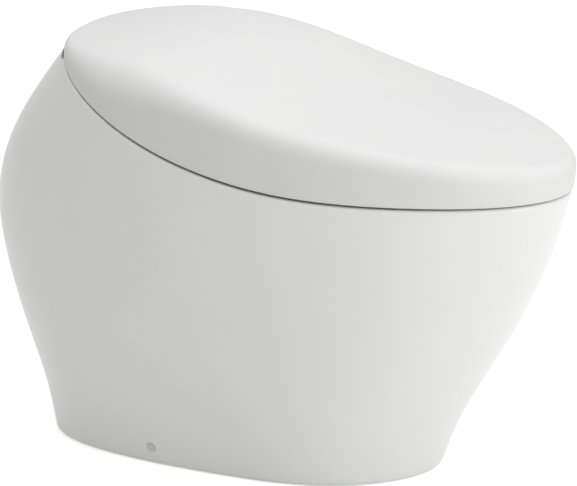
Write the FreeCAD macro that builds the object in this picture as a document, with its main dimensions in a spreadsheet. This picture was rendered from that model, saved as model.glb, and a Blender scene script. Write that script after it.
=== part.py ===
import FreeCAD, Part
import Sketcher
import math
import os
import re
from FreeCAD import Placement, Rotation, Vector

# One-piece toilet with a heated seat and a washing unit under a full-width lid.
# Millimetres. +Z up, the bowl's front faces -Y, the user's right hand is at -X.
# The origin is on the floor, at the middle of the object's footprint.

document = FreeCAD.newDocument("smart_toilet")
sheet = document.addObject("Spreadsheet::Sheet", "Sizes")

# The driving dimensions, by name.
SIZES = {
    # Ceramic skirt: at each level, half the width, and the reach forward and back of the origin.
    "foot_level": 0, "foot_half_width": 145.6, "foot_front": 219, "foot_rear": 318,
    "ankle_level": 70, "ankle_half_width": 165.9, "ankle_front": 246.5, "ankle_rear": 329.5,
    "calf_level": 150, "calf_half_width": 185.8, "calf_front": 291.7, "calf_rear": 355,
    "waist_level": 240, "waist_half_width": 202.9, "waist_front": 339.9, "waist_rear": 382,
    "flank_level": 330, "flank_half_width": 214.2, "flank_front": 374.5, "flank_rear": 393.5,
    "rim_level": 420, "rim_half_width": 217.6, "rim_front": 396, "rim_rear": 368.6,
    "crown_level": 520, "crown_half_width": 213.3, "crown_front": 409.3, "crown_rear": 301.7,
    "widest_place": 12,
    "plan_roundness_front": 1.96, "plan_roundness_foot": 2.9, "plan_roundness_crown": 2.24,
    # The parting line between lid and ceramic: its height at five places from front to back.
    "part_line_nose": 392.1, "part_line_front": 398.2, "part_line_middle": 410.6,
    "part_line_flank": 470.2, "part_line_tail": 570.1,
    "part_gap": 3,
    # Ceramic walls and edges.
    "ceramic_wall": 12, "foot_flange": 34, "foot_flange_thickness": 14,
    "foot_edge_radius": 11, "rim_edge_radius": 4, "rim_level_inside": 396, "rim_slab": 14,
    # Bowl.
    "bowl_front": 303, "bowl_rear": 40, "bowl_half_width": 113, "bowl_wall": 10,
    "bowl_waist_level": 300, "bowl_waist_half_width": 101,
    "bowl_cone_level": 225, "bowl_cone_half_width": 70,
    "sump_level": 150, "sump_half_width": 36, "sump_centre": 62,
    # Trap and outlet horn.
    "trap_bore_radius": 26, "trap_wall": 9, "trap_bend_radius": 40,
    "trap_dip_level": 140, "weir_level": 235, "outlet_place": 90,
    "horn_radius": 46, "horn_height": 60, "horn_clearance": 9,
    "seal_radius": 60, "flange_radius": 70, "flange_thickness": 5, "flange_bore": 32,
    # Bay behind the bowl, and the openings low in the back.
    "rim_pipe_bore": 6, "rim_pipe_level": 371, "rim_pipe_radius": 8.5, "rim_pipe_clearance": 0.5,
    "bay_front": 100, "bay_rear": 262, "bay_half_width": 116, "bay_corner_radius": 12,
    "inlet_place": 60, "gland_place": -20, "service_level": 95, "service_hole_radius": 22,
    "gland_hole_radius": 12,
    # Side fixings.
    "side_screw_place": 123.6, "side_screw_level": 26, "side_screw_radius": 3, "side_screw_hole": 3.6,
    "side_screw_length": 26, "side_head_radius": 5.2, "side_head_thickness": 3,
    "cap_radius": 6.3, "cap_recess_clearance": 0.4, "cap_depth": 6, "cap_proud": 0.7,
    "bracket_width": 46, "bracket_foot": 14, "bracket_height": 48, "bracket_inner": 76,
    "bracket_web": 96, "bracket_web_thickness": 7, "bracket_clearance": 0.3,
    "bracket_arm": 70, "bracket_hole_radius": 3.5, "bracket_hole_pitch": 30, "bracket_hole_place": 86,
    # Lid.
    "lid_nose_overhang": 4.5, "lid_wall": 5, "lid_skin": 3.5, "lid_skin_inset": 16,
    "lid_edge_radius": 19,
    "lid_crown": 14.2, "lid_top_nose": 434.4, "lid_top_front": 467.3, "lid_top_middle": 511.7,
    "lid_top_flank": 553.4, "lid_top_tail": 549,
    "liner_drop": 11.5, "liner_thickness": 2.5, "liner_rear": 222,
    "lid_bumper_radius": 7, "lid_bumper_place": 60, "lid_bumper_front": 322, "rest_clearance": 0.3,
    # Seat.
    "seat_inset": 16, "seat_gap": 3.5, "seat_ring_thickness": 20, "seat_tail_thickness": 17,
    "seat_slope": 25, "seat_bend_place": -10, "seat_bend_radius": 90,
    "seat_rear": 240, "ring_rear": 76, "tongue_root_half_width": 112, "tongue_tip_half_width": 62,
    "seat_hole_front": 292, "seat_hole_rear": -18, "seat_hole_half_width": 105,
    "seat_edge_radius": 7, "seat_corner_radius": 14, "seat_wall": 3, "seat_fit": 0.15, "heater_thickness": 0.5,
    "heater_inset": 14, "seat_bumper_radius": 9, "seat_bumper_place": 148,
    "seat_bumper_front": -150, "seat_bumper_rear": -45,
    # Hinge, across the back under the lid.
    "hinge_place": 260, "hinge_level": 533, "shaft_radius": 4, "shaft_clearance": 0.05,
    "post_half_width": 8, "actuator_length": 40, "actuator_radius": 11, "knuckle_radius": 8,
    "seat_knuckle_start": 49, "knuckle_width": 13, "knuckle_gap": 1, "post_width": 9,
    "post_radius": 6.5, "lid_sweep_clearance": 1.5, "shaft_grip": 5,
    "hinge_plate_place": 232, "hinge_plate_thickness": 8, "hinge_plate_level": 494,
    "hinge_plate_half_width": 94,
    # Washing unit: chassis plate on the rim slab, cover over it.
    "unit_front": 44, "unit_rear": 228, "unit_inset": 15, "unit_clearance": 3,
    "chassis_thickness": 4, "chassis_rear": 262, "cover_wall": 2.5, "tongue_clearance": 3,
    # Wand.
    "wand_angle": 24, "wand_radius": 7, "wand_length": 140, 
    "wand_start": 62, "wand_exit_level": 409.3, "wand_port_clearance": 0.6,
    "wand_tip_length": 12, "wand_tip_round": 3.9, "nozzle_radius": 1.1, "nozzle_start": 4.5,
    "nozzle_pitch": 2.5,
    "rack_module": 1.25, "rack_width": 5, "pinion_teeth": 14, "gear_clearance": 0.15,
    "guide_clearance": 0.1, "guide_radius": 9.4, "guide_start": 36, "guide_length": 62,
    "guide_foot_front": 95, "guide_foot_rear": 148, "guide_foot_side": 6,
    "rack_start": 14, "rack_bar": 2.5, "pinion_place": 20, "pinion_width": 6,
    "pinion_bore": 1.5, "wand_motor_radius": 11, "wand_motor_length": 16,
    # Warm-air dryer.
    "dryer_place": 60, "dryer_fan_radius": 20, "dryer_fan_width": 28, "dryer_wall": 2,
    "dryer_duct_width": 34, "dryer_duct_height": 12, "dryer_centre": 150, "dryer_gap": 2,
    "dryer_inlet_radius": 13, "dryer_motor_radius": 12, "dryer_motor_length": 13,
    "fan_hub_radius": 4, "fan_blades": 12, "fan_plate": 1.5, "fan_blade_inset": 0.4,
    "fan_hub_share": 0.7, "fan_shaft_radius": 2, "blade_thickness": 1, "blade_depth": 6,
    "flap_thickness": 1.6, "flap_clearance": 0.5, "flap_pin_radius": 0.7, "flap_pin_grip": 1.4,
    "heater_fin_pitch": 4, "heater_fin_thickness": 0.8, "heater_fin_length": 24, "heater_fins": 7,
    "heater_start": 18, "heater_rod_radius": 1.2, "heater_rod_inset": 6,
    # Deodoriser.
    "filter_place": -64, "filter_fan_radius": 17, "filter_fan_width": 9, "filter_centre": 126,
    "filter_case_height": 15, "filter_case_margin": 4, "filter_room_gap": 1.5,
    "filter_fan_lift": 0.8, "filter_outlet_radius": 11, "filter_case_wall": 2, "filter_width": 34,
    "filter_height": 12, "filter_port_width": 28, "filter_port_height": 8,
    # Side panel with its buttons.
    "panel_place": -147, "panel_centre": 150, "panel_width": 26, "panel_length": 84,
    "panel_thickness": 1.6, "button_radius": 8, "button_pitch": 24, 
    "button_clearance": 0.35, "button_height": 5, "button_proud": 1.4, "button_crown": 0.8,
    "switch_board_thickness": 1.6, "switch_gap": 1.5, "switch_post_radius": 2.5,
    # Parts in the bay.
    "pump_radius": 21, "pump_length": 62, "pump_place": -78, "heater_tank_width": 46,
    "heater_tank_length": 88, "heater_tank_height": 62, "heater_tank_place": 84,
    "bay_parts_centre": 196, "valve_radius": 14, "valve_length": 44, "valve_centre": 128,
    "flush_valve_radius": 28, "rotor_clearance": 0.4, "rotor_port_radius": 8,
    "board_width": 58, "board_length": 88, "board_thickness": 1.6, "board_standoff": 8,
    "board_place": 130, "board_centre": 144, "board_post_radius": 3, "board_margin": 5,
    "chip_height": 9, "module_place": -136, "module_centre": 112, "module_height": 24,
    "module_length": 40, "module_width": 56,
    "rotor_radius": 21.6, "spindle_radius": 3, "flush_motor_radius": 14, "flush_motor_length": 26,
    "flush_body_length": 42, "flush_cap": 6, "flush_boss_radius": 12,
    "flush_boss_reach": 6, "spindle_length": 20, "filter_channels": 4, "filter_rib": 1.5,
    "button_flange": 1.2, "button_flange_thickness": 0.8, "sensor_radius": 6, "sensor_thickness": 1.6,
    "sensor_place": 166, "lamp_width": 18, "lamp_height": 6, "lamp_place": -26, "lamp_level": 408,
    # Water and power entries at the back.
    "thread_radius": 10.48, "thread_length": 15, "fitting_bore": 6.5, 
    "hose_radius": 7, "hose_bend_radius": 34, "gland_radius": 9, "lead_radius": 4,
    "entry_start": 306, "entry_shoulder_start": 320, "entry_shoulder_length": 11,
    "entry_clearance": 0.3, "lead_turn": 250, "gland_reach": 12, "gland_bore": 3.5, "hose_bore": 4.5,
}

STATIONS = ("foot", "ankle", "calf", "waist", "flank", "rim", "crown")
PART_LINE_PLACES = (-400, -250, -50, 150, 330)
PART_LINE_NAMES = ("nose", "front", "middle", "flank", "tail")
LID_TOP_PLACES = (-391, -250, -50, 120, 276)
LID_TOP_NAMES = ("nose", "front", "middle", "flank", "tail")
OUTLINE_POINTS = 48
FAR = 700
CROWN_SPARE = 40

for row, (alias, value) in enumerate(SIZES.items(), start=1):
    sheet.set("A%d" % row, alias)
    sheet.set("B%d" % row, str(value))
    sheet.setAlias("B%d" % row, alias)
document.recompute()

parts = {}


def size(alias):
    """A driving dimension, read from the sheet."""
    return float(sheet.get(alias))


def expression(text):
    """The text with each driving dimension's name pointing at the sheet."""
    return re.sub(r"\b([a-z][a-z_]*_[a-z_]+)\b", r"Sizes.\1", text)


def bind(target, **properties):
    """Bind properties of an object to expressions of the driving dimensions."""
    for name, text in properties.items():
        target.setExpression(name.replace("__", "."), expression(text))


def place(target, x="0", y="0", z="0"):
    """Bind where an object stands."""
    bind(target, Placement__Base__x=x, Placement__Base__y=y, Placement__Base__z=z)
    return target


def box(name, length, width, height, x="0", y="0", z="0"):
    """A box from its lowest corner."""
    made = document.addObject("Part::Box", name)
    bind(made, Length=length, Width=width, Height=height)
    return place(made, x, y, z)


TURNS = {
    "+Z": Rotation(),
    "-Z": Rotation(Vector(1, 0, 0), 180),
    "+X": Rotation(Vector(0, 1, 0), 90),
    "-X": Rotation(Vector(0, 1, 0), -90),
    "+Y": Rotation(Vector(1, 0, 0), -90),
    "-Y": Rotation(Vector(1, 0, 0), 90),
}


def cylinder(name, radius, height, x="0", y="0", z="0", along="+Z"):
    """A cylinder from the middle of its first face, along an axis."""
    made = document.addObject("Part::Cylinder", name)
    made.Placement = Placement(Vector(), TURNS[along])
    bind(made, Radius=radius, Height=height)
    return place(made, x, y, z)


def fuse(name, pieces):
    made = document.addObject("Part::MultiFuse", name)
    made.Shapes = pieces
    made.Refine = True
    return made


def common(name, pieces):
    made = document.addObject("Part::MultiCommon", name)
    made.Shapes = pieces
    return made


def cut(name, base, tool):
    made = document.addObject("Part::Cut", name)
    made.Base = base
    made.Tool = tool
    made.Refine = True
    return made


def drilled(name, base, tools):
    """A piece with several tools taken from it."""
    tool = tools[0]
    if len(tools) > 1:
        tool = fuse(name + "_tools", tools)
    return cut(name, base, tool)


def formed(name, shape):
    """A piece whose shape comes from the functions below."""
    made = document.addObject("Part::Feature", name)
    made.Shape = shape
    made.Placement = shape.Placement
    return made


def keep(node, target):
    """List an object as a finished sub-part under its node's name."""
    target.Label = node
    parts[node] = target
    return target


# Curves of the pebble shape ---------------------------------------------------------------


def through(places, values):
    """A natural cubic curve through values at places, as a function."""
    count = len(places)
    lower = [0.0] * count
    middle = [1.0] * count
    upper = [0.0] * count
    right = [0.0] * count
    for i in range(1, count - 1):
        before = places[i] - places[i - 1]
        after = places[i + 1] - places[i]
        lower[i] = before
        middle[i] = 2 * (before + after)
        upper[i] = after
        rise = (values[i + 1] - values[i]) / after - (values[i] - values[i - 1]) / before
        right[i] = 6 * rise
    for i in range(1, count):
        share = lower[i] / middle[i - 1]
        middle[i] -= share * upper[i - 1]
        right[i] -= share * right[i - 1]
    bend = [0.0] * count
    for i in range(count - 1, -1, -1):
        following = bend[i + 1] if i + 1 < count else 0.0
        bend[i] = (right[i] - upper[i] * following) / middle[i]

    def value(where):
        i = 0
        while i < count - 2 and where > places[i + 1]:
            i += 1
        span = places[i + 1] - places[i]
        a = (places[i + 1] - where) / span
        b = (where - places[i]) / span
        curve = (a ** 3 - a) * bend[i] + (b ** 3 - b) * bend[i + 1]
        return a * values[i] + b * values[i + 1] + curve * span * span / 6

    return value


levels = [size(name + "_level") for name in STATIONS]
half_width_at = through(levels, [size(name + "_half_width") for name in STATIONS])
front_at = through(levels, [size(name + "_front") for name in STATIONS])
rear_at = through(levels, [size(name + "_rear") for name in STATIONS])
part_line = through(PART_LINE_PLACES, [size("part_line_" + name) for name in PART_LINE_NAMES])
lid_top_line = through(LID_TOP_PLACES, [size("lid_top_" + name) for name in LID_TOP_NAMES])


def egg_point(angle, half_width, front, rear, middle, roundness_front, roundness_rear):
    """A point of an egg outline; angle 0 is the front, and half a turn is the back."""
    c = math.cos(angle)
    s = math.sin(angle)
    forward = (1 + c) / 2
    power = 2 / (roundness_rear + (roundness_front - roundness_rear) * forward)
    reach = middle + front if c > 0 else rear - middle
    x = half_width * math.copysign(abs(s) ** power, s)
    y = middle - reach * math.copysign(abs(c) ** power, c)
    return x, y


def skirt_point(angle, level, inset=0.0):
    """A point of the ceramic's outside at a level, moved inward by inset."""
    share = min(max((level - size("foot_level")) / size("crown_level"), 0), 1)
    foot = size("plan_roundness_foot")
    roundness = foot + (size("plan_roundness_crown") - foot) * share
    return egg_point(
        angle, half_width_at(level) - inset, front_at(level) - inset, rear_at(level) - inset,
        size("widest_place"), size("plan_roundness_front"), roundness)


def closed_curve(points):
    curve = Part.BSplineCurve()
    curve.interpolate(Points=points, PeriodicFlag=True)
    return Part.Wire([curve.toShape()])


def round_the_clock(count=OUTLINE_POINTS):
    return [2 * math.pi * i / count for i in range(count)]


def skirt_ring(level, inset=0.0):
    return closed_curve([Vector(*skirt_point(a, level, inset), level) for a in round_the_clock()])


def skirt_solid(bottom, top, inset=0.0, step=40):
    """The pebble between two levels, moved inward by inset."""
    count = max(2, round((top - bottom) / step))
    rings = [skirt_ring(bottom + (top - bottom) * i / count, inset) for i in range(count + 1)]
    return Part.makeLoft(rings, True, False)


def sheet_block(line, front, rear, offset, far_level):
    """The space from a curve over Y to a far level, as wide as the object and more."""
    spans = 18
    points = []
    for i in range(spans + 1):
        y = front + (rear - front) * i / spans
        points.append(Vector(-FAR / 2, y, line(y) + offset))
    curve = Part.BSplineCurve()
    curve.interpolate(points)
    corner_rear = Vector(-FAR / 2, rear, far_level)
    corner_front = Vector(-FAR / 2, front, far_level)
    edges = [
        curve.toShape(),
        Part.makeLine(points[-1], corner_rear),
        Part.makeLine(corner_rear, corner_front),
        Part.makeLine(corner_front, points[0]),
    ]
    return Part.Face(Part.Wire(edges)).extrude(Vector(FAR, 0, 0))


def part_line_point(angle):
    """A point of the outline where lid and ceramic meet."""
    level = size("rim_level")
    for _ in range(60):
        x, y = skirt_point(angle, level)
        level += 0.6 * (part_line(y) - level)
    return x, y


def plan_point(angle, inset=0.0, overhang=0.0):
    """A point of the part line's plan, moved inward square to it, less a nose overhang."""
    step = 1e-3
    x, y = part_line_point(angle)
    x_before, y_before = part_line_point(angle - step)
    x_after, y_after = part_line_point(angle + step)
    run = math.hypot(x_after - x_before, y_after - y_before)
    inward_x = -(y_after - y_before) / run
    inward_y = (x_after - x_before) / run
    nose_start = 150
    nose_length = 240
    share = min(max((-y - nose_start) / nose_length, 0), 1)
    depth = inset - overhang * share
    return x + inward_x * depth, y + inward_y * depth


def plan_ring(level, inset=0.0, overhang=0.0):
    points = [plan_point(a, inset, overhang) for a in round_the_clock()]
    return closed_curve([Vector(x, y, level) for x, y in points])


def plan_prism(bottom, top, inset=0.0):
    """The part line's plan as an upright block."""
    return Part.Face(plan_ring(bottom, inset)).extrude(Vector(0, 0, top - bottom))


def lid_top_level(x, y):
    return lid_top_line(y) - size("lid_crown") * (x / size("rim_half_width")) ** 2


def lid_top_block(drop):
    """Everything above the lid's crowned top, lowered by drop."""
    across = 9
    along = 13
    front = -440
    rear = 340
    side = 260
    rows = []
    for i in range(along):
        y = front + (rear - front) * i / (along - 1)
        xs = [-side + 2 * side * j / (across - 1) for j in range(across)]
        rows.append([Vector(x, y, lid_top_level(x, y) - drop) for x in xs])
    surface = Part.BSplineSurface()
    surface.interpolate(rows)
    return surface.toShape().extrude(Vector(0, 0, 300))


def lid_hollow(inset, drop):
    """The plan moved inward and cut off below the crowned top."""
    return plan_prism(300, 640, inset).cut(lid_top_block(drop))


def round_bar(length, radius, middle_x=0.0):
    """A cylinder on the hinge's axis."""
    start = Vector(middle_x - length / 2, size("hinge_place"), size("hinge_level"))
    return Part.makeCylinder(radius, length, start, Vector(1, 0, 0))


def long_edges(shape):
    return [edge for edge in shape.Edges if edge.Length > 1500]


def lid_shell():
    """The lid's outer shell: an upright wall on the part line under a crowned, rounded top."""
    low = 380
    high = 600
    nose_height = size("lid_top_nose") - size("part_line_nose")
    overhang = size("lid_nose_overhang") * (high - low) / nose_height
    shell = Part.makeLoft([plan_ring(low), plan_ring(high, 0, overhang)], True, True)
    shell = shell.cut(lid_top_block(0))
    shell = shell.cut(sheet_block(part_line, -480, 440, size("part_gap") / 2, 100))
    shell = shell.cut(lid_hollow(size("lid_wall"), size("liner_drop")))
    shell = shell.cut(lid_hollow(size("lid_skin_inset"), size("lid_skin")))
    middle = 2 * (size("seat_knuckle_start") + size("knuckle_width")) + 1
    ends = middle + 2 * (size("knuckle_width") + size("post_width")) + 6
    relief = round_bar(middle, size("actuator_radius") + 1.5)
    relief = relief.fuse(round_bar(ends, size("knuckle_radius") + 1.5))
    shell = shell.cut(relief)
    upper = [edge for edge in long_edges(shell) if edge.BoundBox.ZMin > 425]
    upper.sort(key=lambda edge: edge.Length)
    rounded = shell.makeFillet(size("lid_edge_radius"), [upper[-1]])
    return rounded.Solids[0]


def lid_liner():
    """The inner panel that closes the lid's top, cut back in front of the hinge."""
    low_drop = size("liner_drop") + size("liner_thickness")
    slab = lid_top_block(low_drop).cut(lid_top_block(size("liner_drop")))
    liner = plan_prism(300, 640, size("lid_wall")).common(slab)
    behind = Part.makeBox(FAR, FAR, FAR, Vector(-FAR / 2, size("liner_rear"), 0))
    return liner.cut(behind)


# Ceramic ----------------------------------------------------------------------------------


def blend(first, last, share):
    return first + (last - first) * share


def bowl_ring(level, half_width, inset=0.0):
    """A section of the bowl; its length shrinks with its width towards the sump."""
    sump = size("sump_half_width")
    share = (half_width - sump) / (size("bowl_half_width") - sump)
    front = blend(size("sump_centre") + sump, size("bowl_front"), share)
    rear = blend(sump - size("sump_centre"), size("bowl_rear"), share)
    middle = blend(-size("sump_centre"), (size("bowl_rear") - size("bowl_front")) / 2 + 20, share)
    points = []
    for angle in round_the_clock(32):
        x, y = egg_point(angle, half_width - inset, front - inset, rear - inset, middle, 2, 2)
        points.append(Vector(x, y, level))
    return closed_curve(points)


def bowl_solid(inset, bottom, top):
    rings = [
        bowl_ring(bottom, size("sump_half_width"), inset),
        bowl_ring(size("bowl_cone_level"), size("bowl_cone_half_width"), inset),
        bowl_ring(size("bowl_waist_level"), size("bowl_waist_half_width"), inset),
        bowl_ring(size("rim_level_inside") - 24, size("bowl_half_width"), inset),
        bowl_ring(top, size("bowl_half_width") - 4, inset),
    ]
    return Part.makeLoft(rings, True, False)


def rounded_path(points, radius):
    """Straight runs joined by tangent arcs of one radius."""
    edges = []
    start = points[0]
    for before, corner, after in zip(points, points[1:], points[2:]):
        come = (corner - before).normalize()
        leave = (after - corner).normalize()
        half_turn = come.getAngle(leave) / 2
        reach = radius * math.tan(half_turn)
        first = corner - come * reach
        last = corner + leave * reach
        bisector = (leave - come).normalize()
        centre = corner + bisector * (radius / math.cos(half_turn))
        middle = centre + (corner - centre).normalize() * radius
        edges.append(Part.makeLine(start, first))
        edges.append(Part.Arc(first, middle, last).toShape())
        start = last
    edges.append(Part.makeLine(start, points[-1]))
    return Part.Wire(edges)


def pipe(points, bend, radius):
    """A round bar along a rounded path."""
    path = rounded_path(points, bend)
    along = (points[1] - points[0]).normalize()
    ring = Part.Wire([Part.makeCircle(radius, points[0], along)])
    return path.makePipeShell([ring], True, False)


def trap_points(bottom):
    outlet = size("outlet_place")
    weir = size("weir_level")
    return [
        Vector(0, -size("sump_centre") - 8, size("sump_level") + 24),
        Vector(0, -size("sump_centre") + 34, size("trap_dip_level")),
        Vector(0, outlet - 66, weir),
        Vector(0, outlet, weir),
        Vector(0, outlet, bottom),
    ]


def skirt_side(y, level):
    """Half the ceramic's outside width at a place along it, at a level."""
    low = math.pi / 2
    high = math.pi
    for _ in range(40):
        angle = (low + high) / 2
        if skirt_point(angle, level)[1] < y:
            low = angle
        else:
            high = angle
    return skirt_point(low, level)[0]


def lid_sweep():
    """The round space that the lid's tail passes through behind the hinge."""
    places = []
    for i in range(13):
        angle = math.pi * (0.5 + 0.5 * i / 12)
        x, y = plan_point(angle)
        if y > size("hinge_place"):
            reach = y - size("hinge_place")
            under = part_line(y) - size("hinge_level")
            over = lid_top_level(x, y) - size("hinge_level") - size("lid_edge_radius") / 4
            radius = max(math.hypot(reach, under), math.hypot(reach, over))
            places.append((x, radius + size("lid_sweep_clearance")))
    side = places + [(-x, radius) for x, radius in reversed(places[:-1])]
    axis_y = size("hinge_place")
    axis_z = size("hinge_level")
    points = [Vector(x, axis_y + radius, axis_z) for x, radius in side]
    curve = Part.BSplineCurve()
    curve.interpolate(points)
    first = Vector(points[0].x, axis_y, axis_z)
    last = Vector(points[-1].x, axis_y, axis_z)
    edges = [
        curve.toShape(),
        Part.makeLine(points[-1], last),
        Part.makeLine(last, first),
        Part.makeLine(first, points[0]),
    ]
    return Part.Face(Part.Wire(edges)).revolve(first, Vector(1, 0, 0), 360)


def rounded_block(half_width, front, rear, low, high, radius):
    """An upright block with round corners, centred across the object."""
    block = Part.makeBox(2 * half_width, rear - front, high - low, Vector(-half_width, front, low))
    upright = [e for e in block.Edges if e.BoundBox.ZLength > (high - low) * 0.9]
    return block.makeFillet(radius, upright)


def side_hole(side, radius, start, length):
    """A level bar across the skirt at a side screw, from start outward."""
    base = Vector(side * start, size("side_screw_place"), size("side_screw_level"))
    return Part.makeCylinder(radius, length, base, Vector(side, 0, 0))


def part_line_edges(body):
    """The ceramic's outer upper edge, left and right, along the lid's parting line."""
    found = []
    for edge in body.Edges:
        middle = edge.valueAt((edge.FirstParameter + edge.LastParameter) / 2)
        if abs(middle.z - part_line(middle.y) + size("part_gap") / 2) < 0.3:
            found.append(edge)
    found.sort(key=lambda edge: edge.Length)
    return found[-2:]


def skirt_inside():
    """The room within the ceramic's walls, above the foot's flange."""
    return skirt_solid(
        size("foot_flange_thickness"), size("crown_level") + CROWN_SPARE, size("ceramic_wall"))


def level_hole(radius, place, middle_level, start, length):
    """A level bar along the object, for a hole in the ceramic."""
    return Part.makeCylinder(radius, length, Vector(place, start, middle_level), Vector(0, 1, 0))


def ceramic_bowl():
    """The cast bowl under its rim deck, with the rim's water hole, the trap and the horn."""
    rim = size("rim_level_inside")
    deck_low = rim - size("rim_slab")
    deck = Part.makeBox(FAR, 2 * FAR, size("rim_slab"), Vector(-FAR / 2, -FAR, deck_low))
    bowl = deck.common(skirt_inside())
    outlet = size("outlet_place")
    bowl = bowl.multiFuse([
        bowl_solid(-size("bowl_wall"), size("sump_level") - size("bowl_wall"), rim),
        pipe(trap_points(size("horn_height")), size("trap_bend_radius"),
             size("trap_bore_radius") + size("trap_wall")),
        Part.makeCylinder(size("horn_radius"), size("horn_height"),
                          Vector(0, outlet, size("horn_clearance"))),
    ])
    bay_low = deck_low - 2
    tools = [
        bowl_solid(0, size("sump_level"), rim + CROWN_SPARE),
        pipe(trap_points(150), size("trap_bend_radius"), size("trap_bore_radius")),
        Part.makeCylinder(size("trap_bore_radius"), 190, Vector(0, outlet, -10)),
        rounded_block(size("bay_half_width"), size("bay_front"), size("bay_rear"),
                      bay_low, rim + 2, size("bay_corner_radius")),
        level_hole(size("rim_pipe_bore"), 0, size("rim_pipe_level"), 10, 60),
    ]
    for tool in tools:
        bowl = bowl.cut(tool)
    return bowl.removeSplitter().Solids[0]


def ceramic_skirt():
    """The cast outer wall with its foot: holes for the services and for the side screws."""
    crown = size("crown_level") + CROWN_SPARE
    skirt = skirt_solid(size("foot_level"), crown)
    skirt = skirt.cut(sheet_block(part_line, -480, 440, -size("part_gap") / 2, 900))
    skirt = skirt.cut(skirt_inside())
    skirt = skirt.cut(skirt_solid(-5, size("foot_flange_thickness"), size("foot_flange"), 10))
    level = size("service_level")
    behind = size("bay_rear") + 18
    tools = [
        level_hole(size("service_hole_radius"), size("inlet_place"), level, behind, 120),
        level_hole(size("gland_hole_radius"), size("gland_place"), level, behind, 120),
        lid_sweep(),
    ]
    surface = skirt_side(size("side_screw_place"), size("side_screw_level"))
    recess = size("cap_radius") + size("cap_recess_clearance")
    for side in (-1, 1):
        tools.append(side_hole(side, size("side_screw_hole"), surface - 30, 60))
        tools.append(side_hole(side, recess, surface - size("cap_depth"), 30))
    for tool in tools:
        skirt = skirt.cut(tool)
    foot_edges = [e for e in skirt.Edges if e.BoundBox.ZMax < 0.01]
    foot_edges.sort(key=lambda edge: edge.Length)
    skirt = skirt.makeFillet(size("foot_edge_radius"), [foot_edges[-1]])
    return skirt.makeFillet(size("rim_edge_radius"), part_line_edges(skirt)).Solids[0]


# Seat -------------------------------------------------------------------------------------


def slope():
    return math.tan(math.radians(size("seat_slope")))


def seat_under(y):
    """The level of the seat's underside: flat over the bowl, then rising to the hinge."""
    flat = size("rim_level_inside") + size("seat_gap")
    return flat + max(0, y - size("seat_bend_place")) * slope()


def tongue_top(y):
    """The level of the seat's back panel."""
    return seat_under(y) + size("seat_tail_thickness")


def bent_slab(low, high, bend_place, thickness_low, thickness_tail):
    """A slab across the object, flat and then sloping up, between two offsets of the seat."""
    front = -FAR
    rear = FAR
    rise = (rear - bend_place) * slope()
    shift = (thickness_low - thickness_tail) / slope()
    points = [
        Vector(-FAR / 2, front, low),
        Vector(-FAR / 2, bend_place, low),
        Vector(-FAR / 2, rear, low + rise),
        Vector(-FAR / 2, rear, high + rise - thickness_low + thickness_tail),
        Vector(-FAR / 2, bend_place + shift, high),
        Vector(-FAR / 2, front, high),
        Vector(-FAR / 2, front, low),
    ]
    slab = Part.Face(Part.makePolygon(points)).extrude(Vector(FAR, 0, 0))
    bends = []
    for edge in slab.Edges:
        middle = edge.valueAt((edge.FirstParameter + edge.LastParameter) / 2)
        inner = abs(middle.y) < FAR / 2 and abs(middle.x) < 1
        if inner:
            bends.append(edge)
    return slab.makeFillet(size("seat_bend_radius"), bends)


def seat_slab(under, over):
    """The seat's thickness, less an allowance under and over."""
    low = size("rim_level_inside") + size("seat_gap") + under
    thick = size("seat_ring_thickness") - under - over
    tail = size("seat_tail_thickness") - under - over
    return bent_slab(low, low + thick, size("seat_bend_place"), thick, tail)


def wedge_plan(root_half_width, tip_half_width, front, rear, low, high):
    """An upright block that narrows towards the back."""
    points = [
        Vector(-root_half_width, front, low),
        Vector(root_half_width, front, low),
        Vector(tip_half_width, rear, low),
        Vector(-tip_half_width, rear, low),
        Vector(-root_half_width, front, low),
    ]
    return Part.Face(Part.makePolygon(points)).extrude(Vector(0, 0, high - low))


def tongue_plan(inset, low, high):
    """The seat's tapering back panel in plan, from inside the ring to the hinge."""
    root_place = 20
    return wedge_plan(
        size("tongue_root_half_width") + 8 - inset, size("tongue_tip_half_width") - inset,
        root_place, size("seat_rear") - inset, low, high)


def seat_hole(inset, low, high):
    """The opening in the ring, made larger by inset."""
    points = []
    middle = -(size("seat_hole_front") - size("seat_hole_rear")) / 2
    for angle in round_the_clock(32):
        x, y = egg_point(
            angle, size("seat_hole_half_width") + inset, size("seat_hole_front") + inset,
            size("seat_hole_rear") + inset, middle, 2, 2)
        points.append(Vector(x, y, low))
    return Part.Face(closed_curve(points)).extrude(Vector(0, 0, high - low))


def seat_plan(inset):
    """The seat's outline as an upright block: the ring, its opening and the back panel."""
    low = 300
    high = 640
    ring = plan_prism(low, high, size("seat_inset") + inset)
    behind = Part.makeBox(FAR, FAR, FAR, Vector(-FAR / 2, size("ring_rear") - inset, 0))
    ring = ring.cut(behind).fuse(tongue_plan(inset, low, high))
    return ring.cut(seat_hole(inset, low, high))


def seat_outside():
    block = seat_plan(0)
    corner_reach = 60
    corners = []
    for edge in block.Edges:
        box = edge.BoundBox
        upright = box.ZLength > 200 and box.XLength < 0.1 and box.YLength < 0.1
        if upright and size("ring_rear") - corner_reach < box.YMin < size("ring_rear") + 1:
            corners.append(edge)
    block = block.makeFillet(size("seat_corner_radius"), corners)
    return block.common(seat_slab(0, 0))


def upper_edges(shape, normal_level):
    """Edges along the top surface of a slab-like shape."""
    found = []
    for edge in shape.Edges:
        inside = True
        for share in (0.2, 0.5, 0.8):
            span = edge.LastParameter - edge.FirstParameter
            point = edge.valueAt(edge.FirstParameter + span * share)
            if abs(point.z - normal_level(point.y)) > 1.2:
                inside = False
        if inside and edge.Length > 2:
            found.append(edge)
    return found


def seat_top_level(y):
    flat = size("rim_level_inside") + size("seat_gap") + size("seat_ring_thickness")
    return max(flat, tongue_top(y))


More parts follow.
